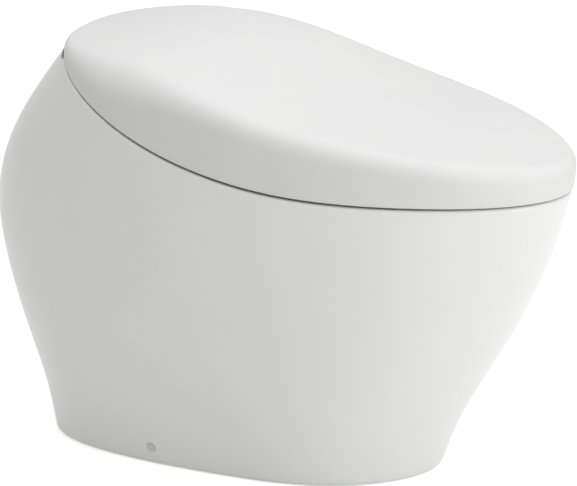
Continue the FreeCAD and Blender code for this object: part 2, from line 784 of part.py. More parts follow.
def seat_top_shell():
    """The seat's upper shell, rounded above and open underneath."""
    shell = seat_outside()
    shell = shell.makeFillet(size("seat_edge_radius"), upper_edges(shell, seat_top_level))
    hollow = seat_plan(size("seat_wall") + 1).common(seat_slab(-30, size("seat_wall")))
    return shell.cut(hollow)


def seat_base():
    """The plate that closes the shell from below."""
    inset = size("seat_wall") + 1 + size("seat_fit")
    above = seat_slab(0, 0)
    above.translate(Vector(0, 0, size("seat_wall")))
    return seat_plan(inset).common(seat_slab(0, 0)).cut(above)


def seat_heater():
    """The heating foil under the shell's top, over the flat of the ring."""
    foil = seat_plan(size("heater_inset"))
    top = size("rim_level_inside") + size("seat_gap") + size("seat_ring_thickness")
    top -= size("seat_wall")
    thin = size("heater_thickness")
    rear = size("seat_bend_place") - 25
    layer = Part.makeBox(FAR, FAR, thin, Vector(-FAR / 2, rear - FAR, top - thin))
    return foil.common(layer)


# Hinge ------------------------------------------------------------------------------------


def hinge_bar(radius, start, end):
    """A bar on the hinge axis between two places across the object."""
    base = Vector(start, size("hinge_place"), size("hinge_level"))
    return Part.makeCylinder(radius, end - start, base, Vector(1, 0, 0))


def side_plate(points, start, end):
    """A plate standing fore and aft: an outline in Y and Z, thick across the object."""
    corners = [Vector(start, y, z) for y, z in points]
    corners.append(corners[0])
    return Part.Face(Part.makePolygon(corners)).extrude(Vector(end - start, 0, 0))


def outer_post_start():
    return size("seat_knuckle_start") + 2 * (size("knuckle_width") + size("knuckle_gap"))


def lid_knuckle_start():
    return size("seat_knuckle_start") + size("knuckle_width") + size("knuckle_gap")


def post(start, end):
    """One arm of the hinge bracket, from its upright plate to the axis."""
    axis_y = size("hinge_place")
    axis_z = size("hinge_level")
    foot_y = size("hinge_plate_place") + size("hinge_plate_thickness") / 2
    foot_z = size("hinge_plate_level") - 6
    run = math.hypot(axis_y - foot_y, axis_z - foot_z)
    across_y = (axis_z - foot_z) / run
    across_z = -(axis_y - foot_y) / run
    half = size("post_radius") - 1
    thick = size("hinge_plate_thickness") / 2
    outline = [
        (foot_y - thick, foot_z - 14),
        (foot_y + thick, foot_z - 14),
        (foot_y + thick, foot_z),
        (axis_y + across_y * half, axis_z + across_z * half),
        (axis_y - across_y * half, axis_z - across_z * half),
        (foot_y - thick, foot_z + 4),
    ]
    return side_plate(outline, start, end).fuse(hinge_bar(size("post_radius"), start, end))


def hinge_bracket():
    """The steel bracket behind the cover: foot, upright plate and three arms to the axis."""
    half = size("hinge_plate_half_width")
    front = size("hinge_plate_place")
    thick = size("hinge_plate_thickness")
    low = size("rim_level_inside") + size("chassis_thickness")
    plate = Part.makeBox(2 * half, thick, size("hinge_plate_level") - low, Vector(-half, front, low))
    foot = Part.makeBox(2 * half, size("chassis_rear") - front, 3, Vector(-half, front, low))
    bracket = plate.fuse(foot)
    bracket = bracket.fuse(post(-size("post_half_width"), size("post_half_width")))
    start = outer_post_start()
    end = start + size("post_width")
    hole = size("shaft_radius") + size("shaft_clearance")
    for low_x, high_x in ((start, end), (-end, -start)):
        bracket = bracket.fuse(post(low_x, high_x))
        bracket = bracket.cut(hinge_bar(hole, low_x - 5, high_x + 5))
    return bracket.removeSplitter()


def actuator(side):
    """A motor and damper unit on the centre post, with a socket for its shaft."""
    near = size("post_half_width")
    far = near + size("actuator_length")
    grip = size("shaft_grip")
    hole = size("shaft_radius") + size("shaft_clearance")
    if side > 0:
        case = hinge_bar(size("actuator_radius"), near, far)
        return case.cut(hinge_bar(hole, far - grip - 0.5, far + 5))
    case = hinge_bar(size("actuator_radius"), -far, -near)
    return case.cut(hinge_bar(hole, -far - 5, -far + grip + 0.5))


def hinge_shaft(side):
    """The shaft from the actuator through both knuckles to the outer arm."""
    start = size("post_half_width") + size("actuator_length") - size("shaft_grip")
    end = outer_post_start() + size("post_width")
    if side > 0:
        return hinge_bar(size("shaft_radius"), start, end)
    return hinge_bar(size("shaft_radius"), -end, -start)


def knuckle(start, outline, hole_right, hole_left):
    """A pair of arms to the axis, mirrored across the object, each with its own hole."""
    end = start + size("knuckle_width")
    arms = []
    for low, high, hole in ((start, end, hole_right), (-end, -start, hole_left)):
        arm = side_plate(outline, low, high).fuse(hinge_bar(size("knuckle_radius"), low, high))
        arms.append(arm.cut(hinge_bar(hole, low - 2, high + 2)).removeSplitter())
    return arms


def seat_hinge():
    """The seat's two hinge arms; the right-hand one is keyed to the seat's shaft."""
    axis_y = size("hinge_place")
    axis_z = size("hinge_level")
    rear = size("seat_rear")
    under = seat_under(rear)
    outline = [
        (rear, under),
        (rear, under + size("seat_tail_thickness") - size("seat_edge_radius")),
        (axis_y - 5, axis_z + 6),
        (axis_y + 2, axis_z - 6),
    ]
    free = size("shaft_radius") + size("shaft_clearance")
    return Part.makeCompound(
        knuckle(size("seat_knuckle_start"), outline, free, size("shaft_radius")))


def lid_hinge():
    """The lid's two hinge arms; the left-hand one is keyed to the lid's shaft."""
    axis_y = size("hinge_place")
    axis_z = size("hinge_level")
    outline = [
        (axis_y - 30, axis_z + 3.5),
        (axis_y - 30, axis_z + 40),
        (axis_y - 4, axis_z + 40),
        (axis_y - 4, axis_z + 3.5),
    ]
    free = size("shaft_radius") + size("shaft_clearance")
    arms = knuckle(lid_knuckle_start(), outline, size("shaft_radius"), free)
    skin = lid_top_block(size("lid_skin")).fuse(
        lid_top_block(size("liner_drop")).cut(plan_prism(300, 640, size("lid_skin_inset"))))
    return Part.makeCompound([arm.cut(skin) for arm in arms])


# Washing unit -----------------------------------------------------------------------------


def cover_under_tongue(y, drop):
    return seat_under(y) - size("unit_clearance") - drop


def cover_block(inset, front, rear, drop):
    """The cover's outside, or its hollow, under the seat's back panel and ring."""
    low = size("rim_level_inside") + size("chassis_thickness")
    plan = plan_prism(low, 640, size("unit_inset") + inset)
    slice_block = Part.makeBox(FAR, rear - front, FAR, Vector(-FAR / 2, front, low))
    top_line = [
        (front - 5, tongue_top(front - 5) - drop),
        (rear + 5, tongue_top(rear + 5) - drop),
        (rear + 5, low - 1),
        (front - 5, low - 1),
    ]
    block = plan.common(slice_block).common(side_plate(top_line, -FAR / 2, FAR / 2))
    under_line = [
        (front - 5, cover_under_tongue(front - 5, drop)),
        (rear + 15, cover_under_tongue(rear + 15, drop)),
        (rear + 15, 640),
        (front - 5, 640),
    ]
    under = side_plate(under_line, -FAR / 2, FAR / 2)
    clear = size("tongue_clearance") + drop
    slot = tongue_plan(-clear, low, 640)
    ring_zone = Part.makeBox(
        FAR, size("ring_rear") + clear + FAR, FAR, Vector(-FAR / 2, -FAR, low))
    return block.cut(under.common(slot.fuse(ring_zone)))


def panel_frame():
    """The place of the button panel: on the cover's right shoulder, along its slope."""
    y = size("panel_centre")
    place_at = Vector(size("panel_place"), y, tongue_top(y))
    return Placement(place_at, Rotation(Vector(1, 0, 0), size("seat_slope")))


def button_places():
    pitch = size("button_pitch")
    return [-pitch, 0.0, pitch]


def on_panel(shape):
    """A shape drawn flat at the origin, moved onto the button panel."""
    moved = shape.copy()
    moved.Placement = panel_frame().multiply(shape.Placement)
    return moved


def flat_block(width, length, low, high, middle_y=0.0):
    return Part.makeBox(width, length, high - low, Vector(-width / 2, middle_y - length / 2, low))


def unit_cover():
    """The cover over the washing unit, level with the seat's back panel on both sides."""
    wall = size("cover_wall")
    front = size("unit_front") + wall
    cover = cover_block(0, front, size("unit_rear"), 0)
    cover = cover.cut(cover_block(wall, front - 20, size("unit_rear") - wall, wall))
    recess = flat_block(size("panel_width"), size("panel_length"), -size("panel_thickness"), 10)
    cover = cover.cut(on_panel(recess))
    hole = size("button_radius") + size("button_clearance")
    for y in button_places():
        cover = cover.cut(on_panel(Part.makeCylinder(hole, 20, Vector(0, y, -10))))
    sensor = Part.makeCylinder(
        size("sensor_radius"), 30, Vector(-size("panel_place"), size("sensor_place"), 0))
    sensor.translate(Vector(0, 0, tongue_top(size("sensor_place")) - 15))
    return cover.cut(sensor)


def sensor_window():
    """The round window over the seat sensor, in the cover's left shoulder."""
    y = size("sensor_place")
    disc = Part.makeCylinder(size("sensor_radius"), 30, Vector(-size("panel_place"), y, 0))
    disc.translate(Vector(0, 0, tongue_top(y) - 15))
    thin = size("sensor_thickness")
    line = [
        (y - 30, tongue_top(y - 30) - thin),
        (y + 30, tongue_top(y + 30) - thin),
        (y + 30, tongue_top(y + 30)),
        (y - 30, tongue_top(y - 30)),
    ]
    return disc.common(side_plate(line, 0, FAR / 2))


def wand_frame():
    """Along the wand: -Y leaves the port and slopes down over the bowl."""
    angle = size("wand_angle")
    rise = (size("wand_start") - size("unit_front")) * math.tan(math.radians(angle))
    base = Vector(0, size("wand_start"), size("wand_exit_level") + rise)
    return Placement(base, Rotation(Vector(1, 0, 0), angle))


def on_wand(shape):
    moved = shape.copy()
    moved.Placement = wand_frame().multiply(shape.Placement)
    return moved


def wand_bar(radius, start, end):
    return on_wand(Part.makeCylinder(radius, end - start, Vector(0, start, 0), Vector(0, 1, 0)))


def pitch_line():
    """How far the rack's pitch line lies from the wand's middle."""
    return size("wand_radius") + size("rack_bar")


def rack_slot(clear, start, end):
    """The room for the rack beside the wand."""
    reach = pitch_line() + size("rack_module") + clear
    high = size("rack_width") / 2 + clear
    return on_wand(Part.makeBox(reach, end - start, 2 * high, Vector(0, start, -high)))


def dryer_port(clear):
    width = size("dryer_duct_width") + 2 * clear
    low = size("rim_level_inside") + size("chassis_thickness") + size("dryer_wall") - clear
    height = size("dryer_duct_height") + 2 * clear
    return Part.makeBox(width, 20, height, Vector(
        size("dryer_place") - width / 2, size("unit_front") - 5, low))


def filter_port():
    low = size("rim_level_inside") + size("chassis_thickness") + size("filter_case_wall")
    width = size("filter_port_width")
    return Part.makeBox(width, 20, size("filter_port_height"), Vector(
        size("filter_place") - width / 2, size("unit_front") - 5, low))


def lamp_block(clear, depth):
    width = size("lamp_width") + 2 * clear
    height = size("lamp_height") + 2 * clear
    return Part.makeBox(width, depth, height, Vector(
        size("lamp_place") - width / 2, size("unit_front"), size("lamp_level") - height / 2))


def flap_axis():
    """Where the dryer flap's pins lie: inside its port, near the port's upper edge."""
    low = size("rim_level_inside") + size("chassis_thickness") + size("dryer_wall")
    y = size("unit_front") + size("cover_wall") / 2
    return y, low + size("dryer_duct_height") - size("flap_thickness")


def flap_bar(radius, half_length):
    y, z = flap_axis()
    base = Vector(size("dryer_place") - half_length, y, z)
    return Part.makeCylinder(radius, 2 * half_length, base, Vector(1, 0, 0))


def front_fascia():
    """The plate across the cover's front with the ports for wand, dryer, filter and lamp."""
    front = size("unit_front")
    fascia = cover_block(0, front, front + size("cover_wall"), 0)
    port = size("wand_radius") + size("wand_port_clearance")
    fascia = fascia.cut(wand_bar(port, -60, 40))
    fascia = fascia.cut(rack_slot(size("wand_port_clearance"), -60, 40))
    fascia = fascia.cut(dryer_port(0)).cut(filter_port()).cut(lamp_block(0, 20))
    grip = size("dryer_duct_width") / 2 + size("flap_pin_grip") + 0.3
    return fascia.cut(flap_bar(size("flap_pin_radius") + 0.05, grip))


def dryer_flap():
    """The flap in the dryer's port, rolled round its pins."""
    y, z = flap_axis()
    clear = size("flap_clearance")
    half = size("dryer_duct_width") / 2 - clear
    low = z - size("dryer_duct_height") + size("flap_thickness") + clear
    thin = size("flap_thickness")
    plate = Part.makeBox(2 * half, thin, z - low, Vector(size("dryer_place") - half, y - thin / 2, low))
    flap = plate.fuse(flap_bar(thin * 0.6, half))
    pin = size("dryer_duct_width") / 2 + size("flap_pin_grip")
    return flap.fuse(flap_bar(size("flap_pin_radius"), pin)).removeSplitter()


def unit_chassis():
    """The plate on the inside rim that carries the whole unit."""
    low = size("rim_level_inside")
    plate = plan_prism(low, low + size("chassis_thickness"), size("unit_inset"))
    span = Part.makeBox(FAR, size("chassis_rear") - size("unit_front"), FAR,
                        Vector(-FAR / 2, size("unit_front"), 0))
    return plate.common(span)


# Wand and its drive -----------------------------------------------------------------------


def wand_tube():
    return wand_bar(size("wand_radius"), size("wand_tip_length"), size("wand_length"))


def wand_tip():
    """The nozzle head: a rounded end with three outlets on top."""
    radius = size("wand_radius")
    tip = Part.makeCylinder(radius, size("wand_tip_length"), Vector(), Vector(0, 1, 0))
    front = [edge for edge in tip.Edges if edge.BoundBox.YMax < 0.01]
    tip = tip.makeFillet(size("wand_tip_round"), front)
    for nozzle in range(3):
        y = size("nozzle_start") + nozzle * size("nozzle_pitch")
        tip = tip.cut(Part.makeCylinder(size("nozzle_radius"), radius, Vector(0, y, radius / 2)))
    return on_wand(tip)


def rack_tooth(middle, module):
    """One straight-sided tooth of the rack, pointing away from the wand."""
    lean = math.tan(math.radians(20))
    line = pitch_line()
    half = math.pi * module / 4 - size("gear_clearance") / 2
    tip = module * 0.8
    root = module
    return [
        (line - root, middle - half - root * lean),
        (line + tip, middle - half + tip * lean),
        (line + tip, middle + half - tip * lean),
        (line - root, middle + half + root * lean),
    ]


def wand_rack():
    """The toothed bar along the wand's side."""
    module = size("rack_module")
    pitch = math.pi * module
    start = size("rack_start")
    end = size("wand_length") - 2
    low = -size("rack_width") / 2
    first = start + 0.75 * pitch
    offset = (size("pinion_place") - first) % pitch
    outline = [(size("wand_radius") - 0.8, start)]
    middle = first + offset
    while middle < end - 0.6 * pitch:
        outline += rack_tooth(middle, module)
        middle += pitch
    outline += [(pitch_line() - module, end), (size("wand_radius") - 0.8, end)]
    outline.insert(1, (pitch_line() - module, start))
    corners = [Vector(x, y, low) for x, y in outline]
    corners.append(corners[0])
    bar = Part.Face(Part.makePolygon(corners)).extrude(Vector(0, 0, size("rack_width")))
    bar = on_wand(bar)
    return bar.cut(wand_bar(size("wand_radius"), 0, size("wand_length") + 5))


def involute(base, radius):
    """The angle of an involute from its base circle at a radius."""
    turn = math.acos(base / radius)
    return math.tan(turn) - turn


def wand_pinion():
    """The gear that drives the rack; a tooth space faces the rack's middle tooth."""
    module = size("rack_module")
    teeth = int(size("pinion_teeth"))
    pitch_radius = module * teeth / 2
    base = pitch_radius * math.cos(math.radians(20))
    tip = pitch_radius + 0.8 * module
    root = pitch_radius - 1.05 * module
    half = math.pi / 2 / teeth - size("gear_clearance") / 2 / pitch_radius
    half += involute(base, pitch_radius)
    points = []
    for tooth in range(teeth):
        middle = 2 * math.pi * (tooth + 0.5) / teeth + math.pi
        flank = []
        steps = 5
        for i in range(steps + 1):
            radius = base * 1.002 + (tip - base * 1.002) * i / steps
            flank.append((radius, half - involute(base, radius)))
        points.append((root, middle - flank[0][1]))
        points += [(radius, middle - turn) for radius, turn in flank]
        points += [(radius, middle + turn) for radius, turn in reversed(flank)]
        points.append((root, middle + flank[0][1]))
    width = size("pinion_width")
    corners = [Vector(r * math.cos(a), r * math.sin(a), -width / 2) for r, a in points]
    corners.append(corners[0])
    gear = Part.Face(Part.makePolygon(corners)).extrude(Vector(0, 0, width))
    bore = Part.makeCylinder(size("pinion_bore"), width + 2, Vector(0, 0, -width / 2 - 1))
    gear = gear.cut(bore)
    gear.translate(Vector(pitch_line() + pitch_radius, size("pinion_place"), 0))
    return on_wand(gear)


def pinion_middle():
    return pitch_line() + size("rack_module") * size("pinion_teeth") / 2


def wand_motor():
    """The stepper under the pinion, with its shaft and a foot on the chassis."""
    top = -size("pinion_width") / 2 - 0.3
    x = pinion_middle()
    y = size("pinion_place")
    case = Part.makeCylinder(
        size("wand_motor_radius"), size("wand_motor_length"),
        Vector(x, y, top - size("wand_motor_length")))
    shaft_radius = size("pinion_bore") - size("shaft_clearance")
    shaft = Part.makeCylinder(shaft_radius, size("pinion_width") + 1, Vector(x, y, top - 1))
    motor = on_wand(case.fuse(shaft))
    low = size("rim_level_inside") + size("chassis_thickness")
    middle_y = size("wand_start") + y
    foot = Part.makeBox(16, 16, 12, Vector(x - 8, middle_y, low))
    return motor.fuse(foot).removeSplitter()


def wand_guide():
    """The sleeve that the wand slides in, on a pedestal."""
    start = size("guide_start")
    end = start + size("guide_length")
    low = size("rim_level_inside") + size("chassis_thickness")
    sleeve = wand_bar(size("guide_radius"), start, end)
    front = size("guide_foot_front")
    rear = size("guide_foot_rear")
    base = wand_frame().Base
    rise = math.tan(math.radians(size("wand_angle")))
    outline = [
        (front, low),
        (rear, low),
        (rear, base.z + (rear - base.y) * rise),
        (front, base.z + (front - base.y) * rise),
    ]
    side = size("guide_foot_side")
    guide = sleeve.fuse(side_plate(outline, -side, side))
    guide = guide.cut(wand_bar(size("wand_radius") + size("guide_clearance"), start - 40, end + 60))
    return guide.cut(rack_slot(0.6, start - 40, end + 60))


# Small formed pieces ----------------------------------------------------------------------


def fan_wheel(radius, width, bore):
    """A wheel of blades on a back plate and hub, with its axis along Z from the origin."""
    wheel = Part.makeCylinder(radius, size("fan_plate"))
    hub = Part.makeCylinder(size("fan_hub_radius"), width * size("fan_hub_share"))
    wheel = wheel.fuse(hub)
    thick = size("blade_thickness")
    start = radius - size("blade_depth") - size("fan_blade_inset")
    blade = Part.makeBox(size("blade_depth"), thick, width, Vector(start, -thick / 2, 0))
    count = int(size("fan_blades"))
    for i in range(count):
        copy = blade.copy()
        copy.rotate(Vector(), Vector(0, 0, 1), 360 * i / count)
        wheel = wheel.fuse(copy)
    wheel = wheel.cut(Part.makeCylinder(bore, width * 3, Vector(0, 0, -width)))
    return wheel.removeSplitter()


def dryer_fan():
    wheel = fan_wheel(
        size("dryer_fan_radius"), size("dryer_fan_width"),
        size("fan_shaft_radius") + size("shaft_clearance"))
    low = size("rim_level_inside") + size("chassis_thickness") + size("dryer_wall")
    level = low + size("dryer_gap") + size("dryer_fan_radius")
    base = Vector(size("dryer_place") - size("dryer_fan_width") / 2, size("dryer_centre"), level)
    wheel.Placement = Placement(base, Rotation(Vector(0, 1, 0), 90))
    return wheel


def deodoriser_fan():
    wheel = fan_wheel(
        size("filter_fan_radius"), size("filter_fan_width"),
        size("fan_shaft_radius") + size("shaft_clearance"))
    low = size("rim_level_inside") + size("chassis_thickness") + size("filter_case_wall")
    wheel.translate(Vector(size("filter_place"), size("filter_centre"), low + size("filter_fan_lift")))
    return wheel


def dryer_heater():
    """Warming fins across the duct, on two rods."""
    low = size("rim_level_inside") + size("chassis_thickness") + size("dryer_wall")
    start = size("unit_front") + size("heater_start")
    count = int(size("heater_fins"))
    pitch = size("heater_fin_pitch")
    thin = size("heater_fin_thickness")
    reach = size("dryer_duct_width") / 2
    pieces = []
    for i in range(count):
        x = size("dryer_place") + (i - (count - 1) / 2) * pitch - thin / 2
        pieces.append(Part.makeBox(thin, size("heater_fin_length"), size("dryer_duct_height"),
                                   Vector(x, start, low)))
    middle = low + size("dryer_duct_height") / 2
    inset = size("heater_rod_inset")
    for y in (start + inset, start + size("heater_fin_length") - inset):
        base = Vector(size("dryer_place") - reach, y, middle)
        pieces.append(Part.makeCylinder(
            size("heater_rod_radius"), 2 * reach, base, Vector(1, 0, 0)))
    return pieces[0].multiFuse(pieces[1:]).removeSplitter()


def deodoriser_filter():
    """The carbon cartridge between the fascia's port and the fan case, with air channels."""
    low = size("rim_level_inside") + size("chassis_thickness")
    front = size("unit_front") + size("cover_wall") + size("rest_clearance")
    case_front = size("filter_centre") - size("filter_fan_radius") - size("filter_case_margin")
    length = case_front - size("rest_clearance") - front
    width = size("filter_width")
    block = Part.makeBox(width, length, size("filter_height"),
                         Vector(size("filter_place") - width / 2, front, low))
    count = int(size("filter_channels"))
    pitch = size("filter_port_width") / count
    opening = pitch - size("filter_rib")
    for i in range(count):
        x = size("filter_place") - size("filter_port_width") / 2 + pitch * i + size("filter_rib") / 2
        block = block.cut(Part.makeBox(opening, length + 2, size("filter_port_height"), Vector(
            x, front - 1, low + size("filter_case_wall"))))
    return block


def side_screws():
    """Two screws through the skirt near the floor, one each side."""
    surface = skirt_side(size("side_screw_place"), size("side_screw_level"))
    seat_at = surface - size("cap_depth")
    screws = []
    for side in (-1, 1):
        head = side_hole(side, size("side_head_radius"), seat_at, size("side_head_thickness"))
        length = size("side_screw_length")
        shank = side_hole(side, size("side_screw_radius"), seat_at - length, length)
        screws.append(head.fuse(shank))
    return Part.makeCompound(screws)


def side_screw_caps():
    """Round caps over the side screws, following the skirt and standing slightly proud."""
    surface = skirt_side(size("side_screw_place"), size("side_screw_level"))
    start = surface - size("cap_depth") + size("side_head_thickness")
    level = size("side_screw_level")
    reach = 2 * size("cap_radius")
    outside = skirt_solid(level - reach, level + reach, -size("cap_proud"), 6)
    caps = [side_hole(side, size("cap_radius"), start, reach).common(outside) for side in (-1, 1)]
    return Part.makeCompound(caps)


def floor_bracket(side):
    """The angle that takes a side screw and is screwed to the floor inside the skirt."""
    middle = size("side_screw_place")
    width = size("bracket_width")
    inner = size("bracket_inner")
    web = size("bracket_web")
    web_end = web + size("bracket_web_thickness")
    foot = size("bracket_foot")
    high = size("bracket_height")

    def block(start, end, low, top):
        left = start if side > 0 else -end
        return Part.makeBox(end - start, width, top - low, Vector(left, middle - width / 2, low))

    over_flange = size("foot_flange_thickness") + size("bracket_clearance")
    arm = block(web, web + size("bracket_arm"), over_flange, high)
    inset = size("ceramic_wall") + size("bracket_clearance")
    inside = skirt_solid(over_flange - 5, high + 20, inset, 15)
    bracket = block(inner, web_end, 0, foot).fuse(block(web, web_end, 0, high))
    bracket = bracket.fuse(arm.common(inside))
    surface = skirt_side(middle, size("side_screw_level"))
    bracket = bracket.cut(side_hole(side, size("side_screw_radius"), surface - 60, 60))
    for y in (-size("bracket_hole_pitch") / 2, size("bracket_hole_pitch") / 2):
        base = Vector(side * size("bracket_hole_place"), middle + y, -5)
        bracket = bracket.cut(Part.makeCylinder(size("bracket_hole_radius"), foot + 10, base))
    return bracket.removeSplitter()


def lid_bumpers():
    """Two pads under the liner's front, just clear of the seat."""
    low = seat_top_level(-size("lid_bumper_front")) + size("rest_clearance")
    under = lid_top_block(size("liner_drop") + size("liner_thickness"))
    pads = []
    for side in (-1, 1):
        base = Vector(side * size("lid_bumper_place"), -size("lid_bumper_front"), low)
        pads.append(Part.makeCylinder(size("lid_bumper_radius"), FAR / 10, base).cut(under))
    return Part.makeCompound(pads)


def button_panel():
    """The panel plate let into the cover, with a hole for each button."""
    plate = flat_block(size("panel_width"), size("panel_length"), -size("panel_thickness"), 0)
    hole = size("button_radius") + size("button_clearance")
    for y in button_places():
        plate = plate.cut(Part.makeCylinder(hole, 20, Vector(0, y, -10)))
    return on_panel(plate)


def button(y):
    """A push button with a rounded crown and a flange that keeps it under the cover."""
    proud = size("button_proud")
    low = proud - size("button_height")
    radius = size("button_radius")
    cap = Part.makeCylinder(radius, size("button_height"), Vector(0, y, low))
    crown = [e for e in cap.Edges if e.BoundBox.ZMin > proud - 0.01]
    cap = cap.makeFillet(size("button_crown"), crown)
    flange = Part.makeCylinder(
        radius + size("button_flange"), size("button_flange_thickness"), Vector(0, y, low))
    return on_panel(cap.fuse(flange).removeSplitter())


def switch_board():
    """The small board under the buttons, on posts from the cover."""
    top = size("button_proud") - size("button_height") - size("switch_gap")
    thick = size("switch_board_thickness")
    board = flat_block(size("panel_width"), size("panel_length"), top - thick, top)
    under = -size("cover_wall") * math.cos(math.radians(size("seat_slope")))
    half = size("panel_length") / 2 - size("switch_post_radius") - 0.5
    for y in (-half, half):
        board = board.fuse(
            Part.makeCylinder(size("switch_post_radius"), under - top, Vector(0, y, top)))
    return on_panel(board)


def hollow_pipe(points, bend, radius, bore):
    return pipe(points, bend, radius).cut(pipe(points, bend, bore))


def inlet_hose():
    """The hose from the water inlet forward and up to the inlet valve."""
    x = size("inlet_place")
    level = size("service_level")
    valve = size("rim_level_inside") - size("valve_length")
    points = [
        Vector(x, size("entry_start"), level),
        Vector(x, size("valve_centre"), level),
        Vector(x, size("valve_centre"), valve),
    ]
    return hollow_pipe(points, size("hose_bend_radius"), size("hose_radius"), size("hose_bore"))


def power_lead():
    """The lead from the gland forward and up to the chassis."""
    x = size("gland_place")
    level = size("service_level")
    points = [
        Vector(x, size("entry_shoulder_start"), level),
        Vector(x, size("lead_turn"), level),
        Vector(x, size("lead_turn"), size("rim_level_inside")),
    ]
    return pipe(points, size("hose_bend_radius"), size("lead_radius"))


# Pieces drawn as sketches -----------------------------------------------------------------


def origin_plane(body, role):
    for feature in body.Origin.OriginFeatures:
        if feature.Role == role:
            return feature
    raise ValueError(role)


def centred_rectangle(body, name, width, length):
    """A sketch of a rectangle about the body's origin, its sides bound to the sheet."""
    sketch = body.newObject("Sketcher::SketchObject", name)
    sketch.AttachmentSupport = (origin_plane(body, "XY_Plane"), "")
    sketch.MapMode = "FlatFace"
    corners = [Vector(-10, -10), Vector(10, -10), Vector(10, 10), Vector(-10, 10)]
    for first, last in zip(corners, corners[1:] + corners[:1]):
        sketch.addGeometry(Part.LineSegment(first, last), False)
    for line in range(4):
        sketch.addConstraint(Sketcher.Constraint("Coincident", line, 2, (line + 1) % 4, 1))
    for line, way in enumerate(("Horizontal", "Vertical", "Horizontal", "Vertical")):
        sketch.addConstraint(Sketcher.Constraint(way, line))
    sketch.addConstraint(Sketcher.Constraint("Symmetric", 0, 1, 1, 2, -1, 1))
    sketch.addConstraint(Sketcher.Constraint("DistanceX", 0, 1, 0, 2, 20))
    sketch.renameConstraint(sketch.ConstraintCount - 1, "width")
    sketch.addConstraint(Sketcher.Constraint("DistanceY", 1, 1, 1, 2, 20))
    sketch.renameConstraint(sketch.ConstraintCount - 1, "length")
    sketch.setExpression("Constraints.width", expression(width))
    sketch.setExpression("Constraints.length", expression(length))
    return sketch


def padded_body(name, width, length, height, x, y, z):
    """A plate as a body: a rectangle padded upward and stood in its place."""
    body = document.addObject("PartDesign::Body", name)
    sketch = centred_rectangle(body, name + "_outline", width, length)
    pad = body.newObject("PartDesign::Pad", name + "_pad")
    pad.Profile = sketch
    pad.setExpression("Length", expression(height))
    body.Tip = pad
    return place(body, x, y, z)


# Assembly ---------------------------------------------------------------------------------


CHASSIS_TOP = "rim_level_inside + chassis_thickness"


def add_shells():
    keep("ceramic_skirt", formed("CeramicSkirt", ceramic_skirt()))
    keep("ceramic_bowl", formed("CeramicBowl", ceramic_bowl()))
    keep("lid_shell", formed("LidShell", lid_shell()))
    keep("lid_liner", formed("LidLiner", lid_liner()))
    keep("lid_bumpers", formed("LidBumpers", lid_bumpers()))
    keep("seat_top_shell", formed("SeatShell", seat_top_shell()))
    keep("seat_base", formed("SeatBase", seat_base()))
    keep("seat_heater_foil", formed("SeatHeater", seat_heater()))


def add_hinge():
    keep("hinge_bracket", formed("HingeBracket", hinge_bracket()))
    keep("seat_actuator", formed("SeatActuator", actuator(-1)))
    keep("lid_actuator", formed("LidActuator", actuator(1)))
    keep("seat_shaft", formed("SeatShaft", hinge_shaft(-1)))
    keep("lid_shaft", formed("LidShaft", hinge_shaft(1)))
    keep("seat_hinge", formed("SeatHinge", seat_hinge()))
    keep("lid_hinge", formed("LidHinge", lid_hinge()))


def add_floor_fixings():
    keep("floor_bracket_right", formed("BracketRight", floor_bracket(-1)))
    keep("floor_bracket_left", formed("BracketLeft", floor_bracket(1)))
    keep("side_screws", formed("SideScrews", side_screws()))
    keep("side_screw_caps", formed("SideScrewCaps", side_screw_caps()))


def add_drain():
    """The floor flange and the soft seal under the outlet horn."""
    plate = cylinder("FlangePlate", "flange_radius", "flange_thickness", y="outlet_place")
    bore = cylinder("FlangeBore", "flange_bore", "flange_thickness * 3", y="outlet_place",
                    z="-flange_thickness")
    keep("drain_flange", cut("DrainFlange", plate, bore))
    ring = cylinder("SealRing", "seal_radius", "horn_clearance + 12 - flange_thickness",
                    y="outlet_place", z="flange_thickness")
    horn = cylinder("SealSeat", "horn_radius", "horn_height", y="outlet_place", z="horn_clearance")
    mouth = cylinder("SealMouth", "flange_bore", "horn_height", y="outlet_place")
    keep("drain_seal", drilled("DrainSeal", ring, [horn, mouth]))


def add_seat_bumpers():
    pads = []
    for side, x in (("Right", "-seat_bumper_place"), ("Left", "seat_bumper_place")):
        for end, y in (("Front", "seat_bumper_front"), ("Rear", "seat_bumper_rear")):
            pads.append(cylinder(
                "Bumper%s%s" % (side, end), "seat_bumper_radius", "seat_gap - rest_clearance",
                x, y, "rim_level_inside + rest_clearance"))
    group = document.addObject("Part::Compound", "SeatBumpers")
    group.Links = pads
    keep("seat_bumpers", group)


def add_unit_case():
    keep("unit_chassis", formed("Chassis", unit_chassis()))
    keep("unit_cover", formed("Cover", unit_cover()))
    keep("front_fascia", formed("Fascia", front_fascia()))
    keep("sensor_window", formed("SensorWindow", sensor_window()))
    depth = size("cover_wall")
    keep("night_lamp_lens", formed("LampLens", lamp_block(-size("shaft_clearance"), depth)))
    keep("button_panel", formed("ButtonPanel", button_panel()))
    keep("switch_board", formed("SwitchBoard", switch_board()))
    for name, y in zip(("stop_button", "wash_button", "flush_button"), button_places()):
        keep(name, formed(name, button(y)))


def add_wand():
    keep("wand_tube", formed("WandTube", wand_tube()))
    keep("wand_tip", formed("WandTip", wand_tip()))
    keep("wand_rack", formed("WandRack", wand_rack()))
    keep("wand_pinion", formed("WandPinion", wand_pinion()))
    keep("wand_motor", formed("WandMotor", wand_motor()))
    keep("wand_guide", formed("WandGuide", wand_guide()))


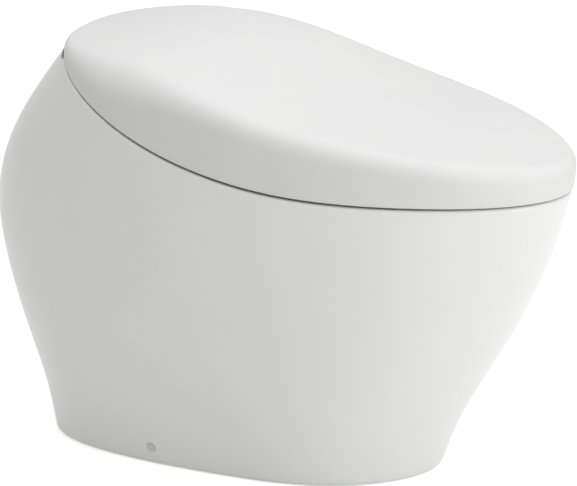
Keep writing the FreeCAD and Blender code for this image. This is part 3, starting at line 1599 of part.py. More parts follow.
def add_dryer():
    """The blower drum with its duct to the fascia, its motor, wheel, fins and flap."""
    left = "dryer_place - dryer_duct_width/2"
    middle = CHASSIS_TOP + " + dryer_wall + dryer_gap + dryer_fan_radius"
    front = "unit_front + cover_wall + rest_clearance"
    drum = cylinder("DryerDrum", "dryer_fan_radius + dryer_gap + dryer_wall",
                    "dryer_duct_width + 2*dryer_wall", left + " - dryer_wall",
                    "dryer_centre", middle, "+X")
    duct = box("DryerDuct", "dryer_duct_width + 2*dryer_wall",
               "dryer_centre - (%s)" % front, "dryer_duct_height + 2*dryer_wall",
               left + " - dryer_wall", front, CHASSIS_TOP)
    drum_hollow = cylinder("DryerHollow", "dryer_fan_radius + dryer_gap", "dryer_duct_width",
                           left, "dryer_centre", middle, "+X")
    duct_hollow = box("DuctHollow", "dryer_duct_width", "dryer_centre", "dryer_duct_height",
                      left, "0", CHASSIS_TOP + " + dryer_wall")
    inlet = cylinder("DryerInlet", "dryer_inlet_radius", "dryer_duct_width",
                     "dryer_place", "dryer_centre", middle, "+X")
    shaft_hole = cylinder("DryerShaftHole", "fan_shaft_radius + rest_clearance",
                          "dryer_duct_width", "dryer_place - dryer_duct_width",
                          "dryer_centre", middle, "+X")
    keep("dryer_housing", drilled("DryerHousing", fuse("DryerOutside", [drum, duct]),
                                  [drum_hollow, duct_hollow, inlet, shaft_hole]))
    case = cylinder("DryerMotorCase", "dryer_motor_radius", "dryer_motor_length",
                    left + " - dryer_wall - dryer_motor_length", "dryer_centre", middle, "+X")
    shaft = cylinder("DryerShaft", "fan_shaft_radius", "dryer_fan_width + dryer_wall",
                     left + " - dryer_wall - 1", "dryer_centre", middle, "+X")
    keep("dryer_motor", fuse("DryerMotor", [case, shaft]))
    keep("dryer_fan", formed("DryerFan", dryer_fan()))
    keep("dryer_heater", formed("DryerHeater", dryer_heater()))
    keep("dryer_flap", formed("DryerFlap", dryer_flap()))


def add_deodoriser():
    """The small blower that draws air from the bowl through a cartridge."""
    reach = "(filter_fan_radius + filter_case_margin)"
    side = "2*" + reach
    case = box("FilterCase", side, side, "filter_case_height",
               "filter_place - " + reach, "filter_centre - " + reach,
               CHASSIS_TOP)
    room = cylinder("FilterRoom", "filter_fan_radius + filter_room_gap",
                    "filter_case_height - 2*filter_case_wall", "filter_place", "filter_centre",
                    CHASSIS_TOP + " + filter_case_wall")
    inlet = box("FilterInlet", "filter_port_width", "2*" + reach, "filter_port_height",
                "filter_place - filter_port_width/2", "filter_centre - 2*" + reach,
                CHASSIS_TOP + " + filter_case_wall")
    outlet = cylinder("FilterOutlet", "filter_outlet_radius", "filter_case_height",
                      "filter_place", "filter_centre", CHASSIS_TOP + " + filter_case_height/2")
    shell = drilled("FilterShell", case, [room, inlet, outlet])
    pin = cylinder("FilterPin", "fan_shaft_radius", "filter_case_height - filter_case_wall",
                   "filter_place", "filter_centre", CHASSIS_TOP + " + filter_case_wall/2")
    keep("deodoriser_case", fuse("DeodoriserCase", [shell, pin]))
    keep("deodoriser_fan", formed("DeodoriserFan", deodoriser_fan()))
    keep("deodoriser_filter", formed("DeodoriserFilter", deodoriser_filter()))


def add_electronics():
    board = padded_body("BoardPlate", "board_width", "board_length", "board_thickness",
                        "board_place", "board_centre", CHASSIS_TOP + " + board_standoff")
    chip = box("BoardRelay", "board_width/3", "board_length/4", "chip_height",
               "board_place - board_width/4", "board_centre - board_length/3",
               CHASSIS_TOP + " + board_standoff + board_thickness")
    coil = cylinder("BoardCoil", "chip_height", "chip_height", "board_place",
                    "board_centre + board_length/5",
                    CHASSIS_TOP + " + board_standoff + board_thickness")
    keep("control_board", fuse("ControlBoard", [board, chip, coil]))
    posts = []
    reach_x = "(board_width/2 - board_margin)"
    reach_y = "(board_length/2 - board_margin)"
    for i, (sign_x, sign_y) in enumerate((("-", "-"), ("-", "+"), ("+", "-"), ("+", "+"))):
        posts.append(cylinder("BoardPost%d" % i, "board_post_radius", "board_standoff",
                              "board_place %s %s" % (sign_x, reach_x),
                              "board_centre %s %s" % (sign_y, reach_y), CHASSIS_TOP))
    group = document.addObject("Part::Compound", "BoardPosts")
    group.Links = posts
    keep("board_posts", group)
    keep("power_module", padded_body(
        "PowerModule", "module_width", "module_length", "module_height",
        "module_place", "module_centre", CHASSIS_TOP))


def add_bay_parts():
    """What hangs from the chassis into the bay behind the bowl."""
    pump = cylinder("PumpBarrel", "pump_radius", "pump_length", "pump_place",
                    "bay_parts_centre - pump_length/2", "rim_level_inside - pump_radius", "+Y")
    saddle = box("PumpSaddle", "pump_radius", "pump_length*0.6", "pump_radius",
                 "pump_place - pump_radius/2", "bay_parts_centre - pump_length*0.3",
                 "rim_level_inside - pump_radius")
    spout = cylinder("PumpSpout", "hose_radius", "pump_radius + 12", "pump_place",
                     "bay_parts_centre", "rim_level_inside - pump_radius", "-Z")
    keep("water_pump", fuse("WaterPump", [pump, saddle, spout]))
    tank = padded_body("TankBlock", "heater_tank_width", "heater_tank_length",
                       "heater_tank_height", "heater_tank_place", "bay_parts_centre",
                       "rim_level_inside - heater_tank_height")
    union = cylinder("TankUnion", "hose_radius", "heater_tank_height + 14",
                     "heater_tank_place", "bay_parts_centre - heater_tank_length/3",
                     "rim_level_inside - 1", "-Z")
    keep("water_heater", fuse("WaterHeater", [tank, union]))
    keep("inlet_valve", cylinder(
        "InletValve", "valve_radius", "valve_length", "inlet_place", "valve_centre",
        "rim_level_inside - valve_length"))


def add_flush_valve():
    """The turning valve that feeds the rim, with its drive below."""
    low = "rim_level_inside - flush_body_length"
    case = cylinder("FlushCase", "flush_valve_radius", "flush_body_length", "0",
                    "bay_parts_centre", low)
    boss = cylinder("FlushBoss", "flush_boss_radius - 1", "flush_valve_radius + flush_boss_reach",
                    "0", "bay_parts_centre", "rim_pipe_level", "-Y")
    chamber = cylinder("FlushChamber", "rotor_radius + rotor_clearance",
                       "flush_body_length - 2*flush_cap", "0", "bay_parts_centre",
                       low + " + flush_cap")
    port = cylinder("FlushPort", "rim_pipe_bore", "flush_valve_radius + 20", "0",
                    "bay_parts_centre", "rim_pipe_level", "-Y")
    spindle_hole = cylinder("SpindleHole", "spindle_radius + shaft_clearance",
                            "flush_body_length/2", "0", "bay_parts_centre", low + " - 5")
    keep("flush_valve_body", drilled("FlushBody", fuse("FlushOutside", [case, boss]),
                                     [chamber, port, spindle_hole]))
    plug = cylinder("RotorPlug", "rotor_radius",
                    "flush_body_length - 2*flush_cap - 2*rotor_clearance", "0",
                    "bay_parts_centre", low + " + flush_cap + rotor_clearance")
    spindle = cylinder("RotorSpindle", "spindle_radius", "spindle_length + 5", "0",
                       "bay_parts_centre", low + " + flush_cap + rotor_clearance - spindle_length")
    way = cylinder("RotorWay", "rotor_port_radius", "3*rotor_radius", "0",
                   "bay_parts_centre - 1.5*rotor_radius", "rim_pipe_level", "+Y")
    keep("flush_valve_rotor", cut("FlushRotor", fuse("RotorSolid", [plug, spindle]), way))
    motor = cylinder("FlushMotorCase", "flush_motor_radius", "flush_motor_length", "0",
                     "bay_parts_centre", low, "-Z")
    socket = cylinder("FlushMotorSocket", "spindle_radius + shaft_clearance", "spindle_length",
                      "0", "bay_parts_centre", low + " + 1", "-Z")
    keep("flush_valve_motor", cut("FlushMotor", motor, socket))
    start = "bowl_rear + bowl_wall + rim_pipe_clearance"
    end = "bay_parts_centre - flush_valve_radius - flush_boss_reach"
    tube = cylinder("RimPipeTube", "rim_pipe_radius", "%s - (%s)" % (end, start), "0", start,
                    "rim_pipe_level", "+Y")
    bore = cylinder("RimPipeHollow", "rim_pipe_bore", "bay_parts_centre", "0", "0",
                    "rim_pipe_level", "+Y")
    keep("rim_pipe", cut("RimPipe", tube, bore))


def add_entries():
    """The water and power entries low in the back, with the hose and lead inside."""
    end = "entry_shoulder_start + entry_shoulder_length"
    spigot = cylinder("InletSpigot", "gland_radius", "entry_shoulder_start - entry_start + 1",
                      "inlet_place", "entry_start", "service_level", "+Y")
    shoulder = cylinder("InletShoulder", "service_hole_radius - entry_clearance",
                        "entry_shoulder_length", "inlet_place", "entry_shoulder_start",
                        "service_level", "+Y")
    thread = cylinder("InletThread", "thread_radius", "thread_length + 1", "inlet_place",
                      end + " - 1", "service_level", "+Y")
    bore = cylinder("InletBore", "fitting_bore", "thread_length + 60", "inlet_place",
                    "entry_start - 10", "service_level", "+Y")
    keep("water_inlet", cut("WaterInlet", fuse("InletSolid", [spigot, shoulder, thread]), bore))
    collar = cylinder("GlandCollar", "gland_hole_radius - entry_clearance",
                      "entry_shoulder_length", "gland_place", "entry_shoulder_start",
                      "service_level", "+Y")
    nose = cylinder("GlandNose", "gland_radius", "gland_reach + 1", "gland_place", end + " - 1",
                    "service_level", "+Y")
    hole = cylinder("GlandBore", "gland_bore", "thread_length + 60", "gland_place",
                    "entry_start - 10", "service_level", "+Y")
    keep("power_gland", cut("PowerGland", fuse("GlandSolid", [collar, nose]), hole))
    keep("inlet_hose", formed("InletHose", inlet_hose()))
    keep("power_lead", formed("PowerLead", power_lead()))


def check_and_write():
    """Stop at anything that failed, then write each sub-part's solids."""
    document.recompute()
    for made in document.Objects:
        if "Invalid" in made.State or "Error" in made.State:
            raise RuntimeError("%s failed: %s" % (made.Name, made.State))
    os.makedirs("parts", exist_ok=True)
    for node, made in parts.items():
        shape = made.Shape
        if shape.isNull() or not shape.isValid() or not shape.Solids:
            raise RuntimeError("%s has no good solid" % node)
        print("%-22s %2d solids %10.1f mm3" % (node, len(shape.Solids), shape.Volume))
        shape.exportStep("parts/%s.step" % node)
    print(len(parts), "sub-parts")


add_shells()
add_hinge()
add_floor_fixings()
add_drain()
add_seat_bumpers()
add_unit_case()
add_wand()
add_dryer()
add_deodoriser()
add_electronics()
add_bay_parts()
add_flush_valve()
add_entries()
check_and_write()
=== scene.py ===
import math

import bmesh
import bpy
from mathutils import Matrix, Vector


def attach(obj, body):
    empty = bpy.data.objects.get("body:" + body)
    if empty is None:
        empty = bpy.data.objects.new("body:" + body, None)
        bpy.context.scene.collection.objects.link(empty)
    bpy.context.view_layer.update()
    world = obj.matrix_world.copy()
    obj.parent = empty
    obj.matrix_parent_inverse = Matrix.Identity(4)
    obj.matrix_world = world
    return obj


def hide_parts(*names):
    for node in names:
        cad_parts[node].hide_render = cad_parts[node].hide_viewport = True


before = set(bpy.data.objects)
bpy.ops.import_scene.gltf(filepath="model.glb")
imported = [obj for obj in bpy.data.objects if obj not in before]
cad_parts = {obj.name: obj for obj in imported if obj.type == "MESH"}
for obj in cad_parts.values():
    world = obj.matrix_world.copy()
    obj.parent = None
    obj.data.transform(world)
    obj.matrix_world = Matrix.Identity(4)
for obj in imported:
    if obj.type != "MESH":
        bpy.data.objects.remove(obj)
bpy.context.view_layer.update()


# Materials ------------------------------------------------------------------------------


def node_set(name):
    """A new node material, its tree, its surface shader and the object coordinates."""
    material = bpy.data.materials.new(name)
    material.use_nodes = True
    tree = material.node_tree
    shader = tree.nodes["Principled BSDF"]
    coordinates = tree.nodes.new("ShaderNodeTexCoord").outputs["Object"]
    return material, tree, shader, coordinates


def noise(tree, coordinates, scale, detail=3.0, stretch=(1, 1, 1)):
    """A noise value; stretch scales the pattern along each axis."""
    mapping = tree.nodes.new("ShaderNodeMapping")
    mapping.inputs["Scale"].default_value = stretch
    tree.links.new(coordinates, mapping.inputs["Vector"])
    texture = tree.nodes.new("ShaderNodeTexNoise")
    texture.inputs["Scale"].default_value = scale
    texture.inputs["Detail"].default_value = detail
    tree.links.new(mapping.outputs["Vector"], texture.inputs["Vector"])
    return texture.outputs["Fac"]


def spread(tree, value, low, high, start=0.3, end=0.7):
    """The value stretched from start..end onto low..high."""
    remap = tree.nodes.new("ShaderNodeMapRange")
    remap.inputs["From Min"].default_value = start
    remap.inputs["From Max"].default_value = end
    remap.inputs["To Min"].default_value = low
    remap.inputs["To Max"].default_value = high
    tree.links.new(value, remap.inputs["Value"])
    return remap.outputs["Result"]


def tint(tree, value, low, high, start=0.35, end=0.65):
    """A colour between two colours, by a value."""
    mix = tree.nodes.new("ShaderNodeMix")
    mix.data_type = "RGBA"
    mix.inputs["A"].default_value = (*low, 1)
    mix.inputs["B"].default_value = (*high, 1)
    tree.links.new(spread(tree, value, 0, 1, start, end), mix.inputs["Factor"])
    return mix.outputs["Result"]


def bump(tree, shader, height, distance, strength=1.0, socket="Normal"):
    """Relief on a shader's normal; distance is its depth in metres."""
    node = tree.nodes.new("ShaderNodeBump")
    node.inputs["Strength"].default_value = strength
    node.inputs["Distance"].default_value = distance
    tree.links.new(height, node.inputs["Height"])
    tree.links.new(node.outputs["Normal"], shader.inputs[socket])


def glaze():
    """Fired white glaze: a soft clear coat with faint waves over a white body."""
    material, tree, shader, where = node_set("white_glaze")
    cloud = noise(tree, where, 7, 4)
    tree.links.new(tint(tree, cloud, (0.87, 0.875, 0.87), (0.89, 0.89, 0.885)),
                   shader.inputs["Base Color"])
    tree.links.new(spread(tree, noise(tree, where, 40, 3), 0.36, 0.42), shader.inputs["Roughness"])
    shader.inputs["IOR"].default_value = 1.5
    shader.inputs["Coat Weight"].default_value = 0.15
    shader.inputs["Coat Roughness"].default_value = 0.3
    bump(tree, shader, noise(tree, where, 28, 2), 0.0004, 0.18)
    bump(tree, shader, noise(tree, where, 9, 2), 0.0008, 0.12, "Coat Normal")
    return material


def plastic(name, low, high, rough, grain=900, depth=0.00008, coat=0.0):
    """Moulded plastic with a fine grain, slight colour drift and uneven sheen."""
    material, tree, shader, where = node_set(name)
    tree.links.new(tint(tree, noise(tree, where, 11, 3), low, high), shader.inputs["Base Color"])
    tree.links.new(spread(tree, noise(tree, where, 55, 4), rough - 0.012, rough + 0.015),
                   shader.inputs["Roughness"])
    shader.inputs["IOR"].default_value = 1.49
    shader.inputs["Coat Weight"].default_value = coat
    shader.inputs["Coat Roughness"].default_value = 0.22
    bump(tree, shader, noise(tree, where, grain, 2), depth, 0.5)
    return material


def metal(name, low, high, rough, stretch):
    """Metal drawn or turned along one direction."""
    material, tree, shader, where = node_set(name)
    lines = noise(tree, where, 260, 4, stretch)
    tree.links.new(tint(tree, lines, low, high), shader.inputs["Base Color"])
    tree.links.new(spread(tree, lines, rough - 0.06, rough + 0.08), shader.inputs["Roughness"])
    shader.inputs["Metallic"].default_value = 1.0
    bump(tree, shader, lines, 0.00003, 0.5)
    return material


def rubber(name, low, high):
    """Matt rubber with a fine grain."""
    material, tree, shader, where = node_set(name)
    tree.links.new(tint(tree, noise(tree, where, 30, 4), low, high), shader.inputs["Base Color"])
    tree.links.new(spread(tree, noise(tree, where, 120, 3), 0.6, 0.8), shader.inputs["Roughness"])
    shader.inputs["Sheen Weight"].default_value = 0.2
    bump(tree, shader, noise(tree, where, 1400, 2), 0.0001, 0.5)
    return material


def foil():
    """Heater foil: orange film with etched metal tracks."""
    material, tree, shader, where = node_set("heater_film")
    bands = tree.nodes.new("ShaderNodeTexWave")
    bands.inputs["Scale"].default_value = 60
    bands.inputs["Distortion"].default_value = 2.5
    tree.links.new(where, bands.inputs["Vector"])
    tree.links.new(tint(tree, bands.outputs["Fac"], (0.55, 0.24, 0.06), (0.75, 0.62, 0.45), 0.6, 0.7),
                   shader.inputs["Base Color"])
    tree.links.new(spread(tree, bands.outputs["Fac"], 0.3, 0.5, 0, 1), shader.inputs["Roughness"])
    bump(tree, shader, bands.outputs["Fac"], 0.00005, 0.6)
    return material


def circuit():
    """Solder mask over copper tracks."""
    material, tree, shader, where = node_set("circuit_board")
    tracks = tree.nodes.new("ShaderNodeTexVoronoi")
    tracks.distance = "CHEBYCHEV"
    tracks.feature = "F1"
    tracks.inputs["Scale"].default_value = 160
    tree.links.new(where, tracks.inputs["Vector"])
    tree.links.new(tint(tree, tracks.outputs["Distance"], (0.01, 0.12, 0.05), (0.03, 0.24, 0.10)),
                   shader.inputs["Base Color"])
    tree.links.new(spread(tree, tracks.outputs["Distance"], 0.25, 0.4), shader.inputs["Roughness"])
    bump(tree, shader, tracks.outputs["Distance"], 0.0001, 0.6)
    return material


def carbon():
    """Pressed granules of carbon."""
    material, tree, shader, where = node_set("carbon_granules")
    grains = tree.nodes.new("ShaderNodeTexVoronoi")
    grains.inputs["Scale"].default_value = 900
    tree.links.new(where, grains.inputs["Vector"])
    tree.links.new(tint(tree, grains.outputs["Distance"], (0.01, 0.01, 0.01), (0.06, 0.06, 0.06)),
                   shader.inputs["Base Color"])
    tree.links.new(spread(tree, grains.outputs["Distance"], 0.6, 0.9), shader.inputs["Roughness"])
    bump(tree, shader, grains.outputs["Distance"], 0.0006)
    return material


def lens(name, colour, rough):
    """Milky moulded lens."""
    material, tree, shader, where = node_set(name)
    tree.links.new(tint(tree, noise(tree, where, 90, 3), colour, [c * 0.94 for c in colour]),
                   shader.inputs["Base Color"])
    tree.links.new(spread(tree, noise(tree, where, 200, 2), rough, rough + 0.1),
                   shader.inputs["Roughness"])
    shader.inputs["Subsurface Weight"].default_value = 0.3
    shader.inputs["Subsurface Radius"].default_value = (0.004, 0.004, 0.004)
    bump(tree, shader, noise(tree, where, 700, 2), 0.00005, 0.4)
    return material


MATERIALS = {
    "glaze": glaze(),
    "lid": plastic("lid_white", (0.80, 0.805, 0.80), (0.82, 0.82, 0.815), 0.56, 1300, 0.00005),
    "seat": plastic("seat_white", (0.81, 0.81, 0.80), (0.825, 0.825, 0.815), 0.3, 1100, 0.00005, 0.2),
    "cap": plastic("cap_white", (0.66, 0.66, 0.61), (0.70, 0.70, 0.65), 0.45),
    "case": plastic("case_white", (0.76, 0.765, 0.76), (0.79, 0.79, 0.785), 0.38, 900),
    "grey": plastic("grey_mouldings", (0.30, 0.31, 0.32), (0.36, 0.37, 0.38), 0.5, 700, 0.00015),
    "dark": plastic("dark_mouldings", (0.025, 0.026, 0.03), (0.045, 0.046, 0.05), 0.45, 700, 0.00015),
    "pad": rubber("pale_rubber", (0.50, 0.50, 0.49), (0.58, 0.58, 0.57)),
    "hose": rubber("dark_rubber", (0.02, 0.02, 0.02), (0.045, 0.045, 0.045)),
    "steel": metal("brushed_steel", (0.55, 0.55, 0.54), (0.70, 0.70, 0.69), 0.3, (1, 14, 14)),
    "wand": metal("wand_steel", (0.62, 0.62, 0.61), (0.75, 0.75, 0.74), 0.22, (12, 1, 12)),
    "brass": metal("turned_brass", (0.60, 0.42, 0.16), (0.72, 0.54, 0.24), 0.28, (14, 1, 14)),
    "foil": foil(),
    "circuit": circuit(),
    "carbon": carbon(),
    "lamp": lens("lamp_lens", (0.82, 0.84, 0.86), 0.2),
    "sensor": lens("sensor_lens", (0.03, 0.02, 0.03), 0.08),
}

NODE_MATERIALS = {
    "glaze": "ceramic_skirt ceramic_bowl",
    "cap": "side_screw_caps",
    "lid": "lid_shell lid_liner",
    "seat": "seat_top_shell seat_base",
    "case": "unit_cover front_fascia stop_button wash_button flush_button wand_tip dryer_flap",
    "grey": "unit_chassis hinge_bracket seat_hinge lid_hinge wand_guide dryer_housing"
            " deodoriser_case button_panel drain_flange board_posts flush_valve_body wand_rack"
            " wand_pinion floor_bracket_left floor_bracket_right water_heater rim_pipe",
    "dark": "seat_actuator lid_actuator dryer_fan deodoriser_fan power_module inlet_valve"
            " power_gland flush_valve_rotor water_pump flush_valve_motor",
    "pad": "seat_bumpers lid_bumpers",
    "hose": "drain_seal inlet_hose power_lead",
    "steel": "side_screws seat_shaft lid_shaft wand_motor dryer_motor dryer_heater",
    "wand": "wand_tube",
    "brass": "water_inlet",
    "foil": "seat_heater_foil",
    "circuit": "control_board switch_board",
    "carbon": "deodoriser_filter",
    "lamp": "night_lamp_lens",
    "sensor": "sensor_window",
}

for finish, names in NODE_MATERIALS.items():
    for name in names.split():
        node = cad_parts[name]
        node.data.materials.clear()
        node.data.materials.append(MATERIALS[finish])


# Shape of the lid --------------------------------------------------------------------------
# Millimetres, as the solids are drawn.


def through(places, values):
    """A natural cubic curve through values at places, as a function."""
    count = len(places)
    middle = [1.0] * count
    right = [0.0] * count
    upper = [0.0] * count
    for i in range(1, count - 1):
        before = places[i] - places[i - 1]
        after = places[i + 1] - places[i]
        share = before / middle[i - 1]
        rise = (values[i + 1] - values[i]) / after - (values[i] - values[i - 1]) / before
        middle[i] = 2 * (before + after) - share * upper[i - 1]
        upper[i] = after
        right[i] = 6 * rise - share * right[i - 1]
    bend = [0.0] * (count + 1)
    for i in range(count - 1, -1, -1):
        bend[i] = (right[i] - upper[i] * bend[i + 1]) / middle[i]

    def value(where):
        i = 0
        while i < count - 2 and where > places[i + 1]:
            i += 1
        span = places[i + 1] - places[i]
        a = (places[i + 1] - where) / span
        b = (where - places[i]) / span
        curve = (a ** 3 - a) * bend[i] + (b ** 3 - b) * bend[i + 1]
        return a * values[i] + b * values[i + 1] + curve * span * span / 6

    return value


SKIRT_TOP = 520
STATION_LEVELS = (0, 70, 150, 240, 330, 420, SKIRT_TOP)
half_width_at = through(STATION_LEVELS, (145.6, 165.9, 185.8, 202.9, 214.2, 217.6, 213.3))
front_at = through(STATION_LEVELS, (219, 246.5, 291.7, 339.9, 374.5, 396, 409.3))
rear_at = through(STATION_LEVELS, (318, 329.5, 355, 382, 393.5, 368.6, 301.7))
part_line = through((-400, -250, -50, 150, 330), (392.1, 398.2, 410.6, 470.2, 570.1))
lid_top_line = through((-391, -250, -50, 120, 276), (434.4, 467.3, 511.7, 553.4, 549))
lid_edge_radius = through((-391, -150, 60, 200, 285), (22, 29, 40, 50, 14))
lid_gap = through((-400, -250, 60, 180, 300), (0.9, 1.5, 2.0, 1.3, 0.7))

# Rings and rounds of the mesh, and how exactly its points are found.
LID_ANGLES = 240
EDGE_RINGS = 10
WALL_RINGS = 8
TOP_RINGS = 28
INNER_ARC = 5
FOOT_TURNS = (0.3, 0.6, 1)
OUTLINE_ROUNDS = 60
OUTLINE_EASE = 0.6
TOP_ROUNDS = 4
ANGLE_STEP = 1e-3
PER_METRE = 1000
MERGE_REACH = 1e-6

# The outline and the crowned top.
WIDEST_PLACE = 12
FRONT_ROUNDNESS = 1.96
REAR_ROUNDNESS = 2.9
REAR_ROUNDNESS_LOSS = 0.66
RIM_LEVEL = 420
RIM_HALF_WIDTH = 217.6
LID_CROWN = 14.2
SPINE_MIDDLE = -60
SPINE_SHARE = 0.55
NOSE_LEAN = 4.5 / (434.4 - 392.1)
NOSE_LEAN_START = 150
NOSE_LEAN_RUN = 240
LEAN_LEVEL = 380

# The lid's wall, its edge, its ledge and the liner.
LID_WALL = 5
LID_SKIN = 3.5
LID_LEDGE = 11
LOW_EDGE = 1.2
EDGE_SHARE = 0.8
LEAST_LEDGE = 1
LEAST_RADIUS = 0.5
STEEPEST_ARC = 0.98
LINER_DROP = 11.5
LINER_THICKNESS = 2.5
LINER_PLAY = 0.3
LINER_REAR = 222


def egg_point(angle, half_width, front, rear, roundness_front, roundness_rear):
    """A point of an egg outline; angle 0 is the front, and half a turn is the back."""
    c = math.cos(angle)
    s = math.sin(angle)
    power = 2 / (roundness_rear + (roundness_front - roundness_rear) * (1 + c) / 2)
    reach = WIDEST_PLACE + front if c > 0 else rear - WIDEST_PLACE
    x = half_width * math.copysign(abs(s) ** power, s)
    y = WIDEST_PLACE - reach * math.copysign(abs(c) ** power, c)
    return x, y


def skirt_point(angle, level):
    """A point of the skirt's outline at a level; its rear grows rounder upwards."""
    share = min(max(level / SKIRT_TOP, 0), 1)
    return egg_point(angle, half_width_at(level), front_at(level), rear_at(level),
                     FRONT_ROUNDNESS, REAR_ROUNDNESS - REAR_ROUNDNESS_LOSS * share)


def part_line_point(angle):
    """A point of the outline where lid and ceramic meet."""
    level = RIM_LEVEL
    for _ in range(OUTLINE_ROUNDS):
        x, y = skirt_point(angle, level)
        level += OUTLINE_EASE * (part_line(y) - level)
    return x, y


def lid_top_level(x, y):
    """The lid's crowned top."""
    return lid_top_line(y) - LID_CROWN * (x / RIM_HALF_WIDTH) ** 2


def lid_edge(angle):
    """The outline's point, its inward direction and how far the wall leans out per height."""
    x, y = part_line_point(angle)
    x_before, y_before = part_line_point(angle - ANGLE_STEP)
    x_after, y_after = part_line_point(angle + ANGLE_STEP)
    run = math.hypot(x_after - x_before, y_after - y_before)
    inward = Vector((-(y_after - y_before) / run, (x_after - x_before) / run))
    share = min(max((-y - NOSE_LEAN_START) / NOSE_LEAN_RUN, 0), 1)
    return Vector((x, y)), inward, NOSE_LEAN * share


class LidSection:
    """The lid's section square to its outline at one angle."""

    def __init__(self, angle):
        self.corner, self.inward, self.lean = lid_edge(angle)
        self.low = part_line(self.corner.y) + lid_gap(self.corner.y)
        self.high = self.top_at(0)
        tallest = EDGE_SHARE * (self.high - self.low)
        self.radius = min(lid_edge_radius(self.corner.y), tallest)
        self.rise = self.top_at(1) - self.high
        length = math.hypot(1, self.rise)
        self.centre = self.high + self.rise * self.radius - self.radius * length

    def at(self, depth, level):
        """A point at a depth from the wall's outer face, which leans."""
        place = self.corner + self.inward * (depth - self.lean * (level - LEAN_LEVEL))
        return Vector((place.x, place.y, level))

    def top_at(self, depth):
        """The crowned top over a depth from the edge."""
        level = lid_top_level(*self.corner)
        for _ in range(TOP_ROUNDS):
            place = self.at(depth, level)
            level = lid_top_level(place.x, place.y)
        return level

    def under(self, depth, drop):
        """A point below the crowned top."""
        place = self.at(depth, self.top_at(depth) - drop)
        return Vector((place.x, place.y, lid_top_level(place.x, place.y) - drop))

    def inner_arc(self):
        """Depths and levels of the wall's inner face from the liner down to the arc's centre."""
        radius = max(self.radius - LID_WALL, LEAST_RADIUS)
        height = (self.high - LINER_DROP - self.centre) / radius
        start = math.asin(min(max(height, 0), STEEPEST_ARC))
        places = []
        for i in range(INNER_ARC):
            turn = start * (1 - i / (INNER_ARC - 1))
            level = self.centre + radius * math.sin(turn)
            depth = LID_WALL + radius * (1 - math.cos(turn))
            places.append((depth, max(level, self.low + LEAST_LEDGE)))
        return places

    def fillet(self):
        """The rounded edge from the wall to the top."""
        start = math.pi
        end = math.atan2(1, -self.rise)
        points = []
        for i in range(EDGE_RINGS + 1):
            share = i / EDGE_RINGS
            turn = start + (end - start) * share
            depth = self.radius + self.radius * math.cos(turn)
            level = self.centre + self.radius * math.sin(turn)
            tangent = self.high + self.rise * depth
            points.append(self.at(depth, level + (self.top_at(depth) - tangent) * share ** 2))
        return points

    def shell(self):
        """Points from the ceiling down the inside, round the low edge and up to the top."""
        arc = self.inner_arc()
        ledge = arc[0][0] + LID_LEDGE
        points = [self.under(ledge, LID_SKIN), self.under(ledge, LINER_DROP)]
        points += [self.at(depth, level) for depth, level in arc]
        points += [self.at(LID_WALL, self.low), self.at(LOW_EDGE, self.low)]
        for turn in FOOT_TURNS:
            depth = LOW_EDGE * (1 - math.sin(turn * math.pi / 2))
            level = self.low + LOW_EDGE * (1 - math.cos(turn * math.pi / 2))
            points.append(self.at(depth, level))
        fillet = self.fillet()
        foot = self.low + LOW_EDGE
        points += [self.at(0, foot + (fillet[0].z - foot) * i / WALL_RINGS)
                   for i in range(1, WALL_RINGS)]
        return points + fillet

    def liner(self):
        """The liner's upper and lower edge."""
        depth = self.inner_arc()[0][0] + LINER_PLAY
        return [self.under(depth, LINER_DROP + LINER_PLAY),
                self.under(depth, LINER_DROP + LINER_THICKNESS)]


def rings_mesh(name, rings):
    """A mesh of quads between rings of points, in metres."""
    mesh = bmesh.new()
    rows = [[mesh.verts.new(point / PER_METRE) for point in ring] for ring in rings]
    count = len(rows[0])
    for low, high in zip(rows, rows[1:]):
        for i in range(count):
            j = (i + 1) % count
            mesh.faces.new((low[i], low[j], high[j], high[i]))
    bmesh.ops.remove_doubles(mesh, verts=mesh.verts, dist=MERGE_REACH)
    bmesh.ops.recalc_face_normals(mesh, faces=mesh.faces)
    for face in mesh.faces:
        face.smooth = True
    data = bpy.data.meshes.new(name)
    mesh.to_mesh(data)
    mesh.free()
    made = bpy.data.objects.new(name, data)
    bpy.context.scene.collection.objects.link(made)
    return made


def to_spine(ring, drop):
    """Rings from an edge ring over the crowned surface to the middle line."""
    made = []
    for i in range(1, TOP_RINGS + 1):
        share = i / TOP_RINGS
        row = []
        for point in ring:
            middle = SPINE_MIDDLE + (point.y - SPINE_MIDDLE) * SPINE_SHARE
            x = point.x * (1 - share)
            y = point.y + (middle - point.y) * share
            row.append(Vector((x, y, lid_top_level(x, y) - drop)))
        made.append(row)
    return made


def lid_cover(sections):
    """The lid's shell as one smooth mesh."""
    rings = [list(ring) for ring in zip(*[section.shell() for section in sections])]
    ceiling = to_spine(rings[0], LID_SKIN)
    top = to_spine(rings[-1], 0)
    return rings_mesh("lid_cover", ceiling[::-1] + rings + top)


def lid_inside(sections):
    """The liner as one plate, cut off in front of the hinge."""
    upper, lower = [list(ring) for ring in zip(*[section.liner() for section in sections])]
    top = to_spine(upper, LINER_DROP + LINER_PLAY)
    bottom = to_spine(lower, LINER_DROP + LINER_THICKNESS)
    made = rings_mesh("lid_inside", top[::-1] + [upper, lower] + bottom)
    mesh = bmesh.new()
    mesh.from_mesh(made.data)
    every = mesh.verts[:] + mesh.edges[:] + mesh.faces[:]
    cut = bmesh.ops.bisect_plane(mesh, geom=every, plane_co=(0, LINER_REAR / PER_METRE, 0),
                                 plane_no=(0, 1, 0), clear_outer=True)
    edges = [part for part in cut["geom_cut"] if isinstance(part, bmesh.types.BMEdge)]
    bmesh.ops.contextual_create(mesh, geom=edges)
    mesh.to_mesh(made.data)
    mesh.free()
    return made


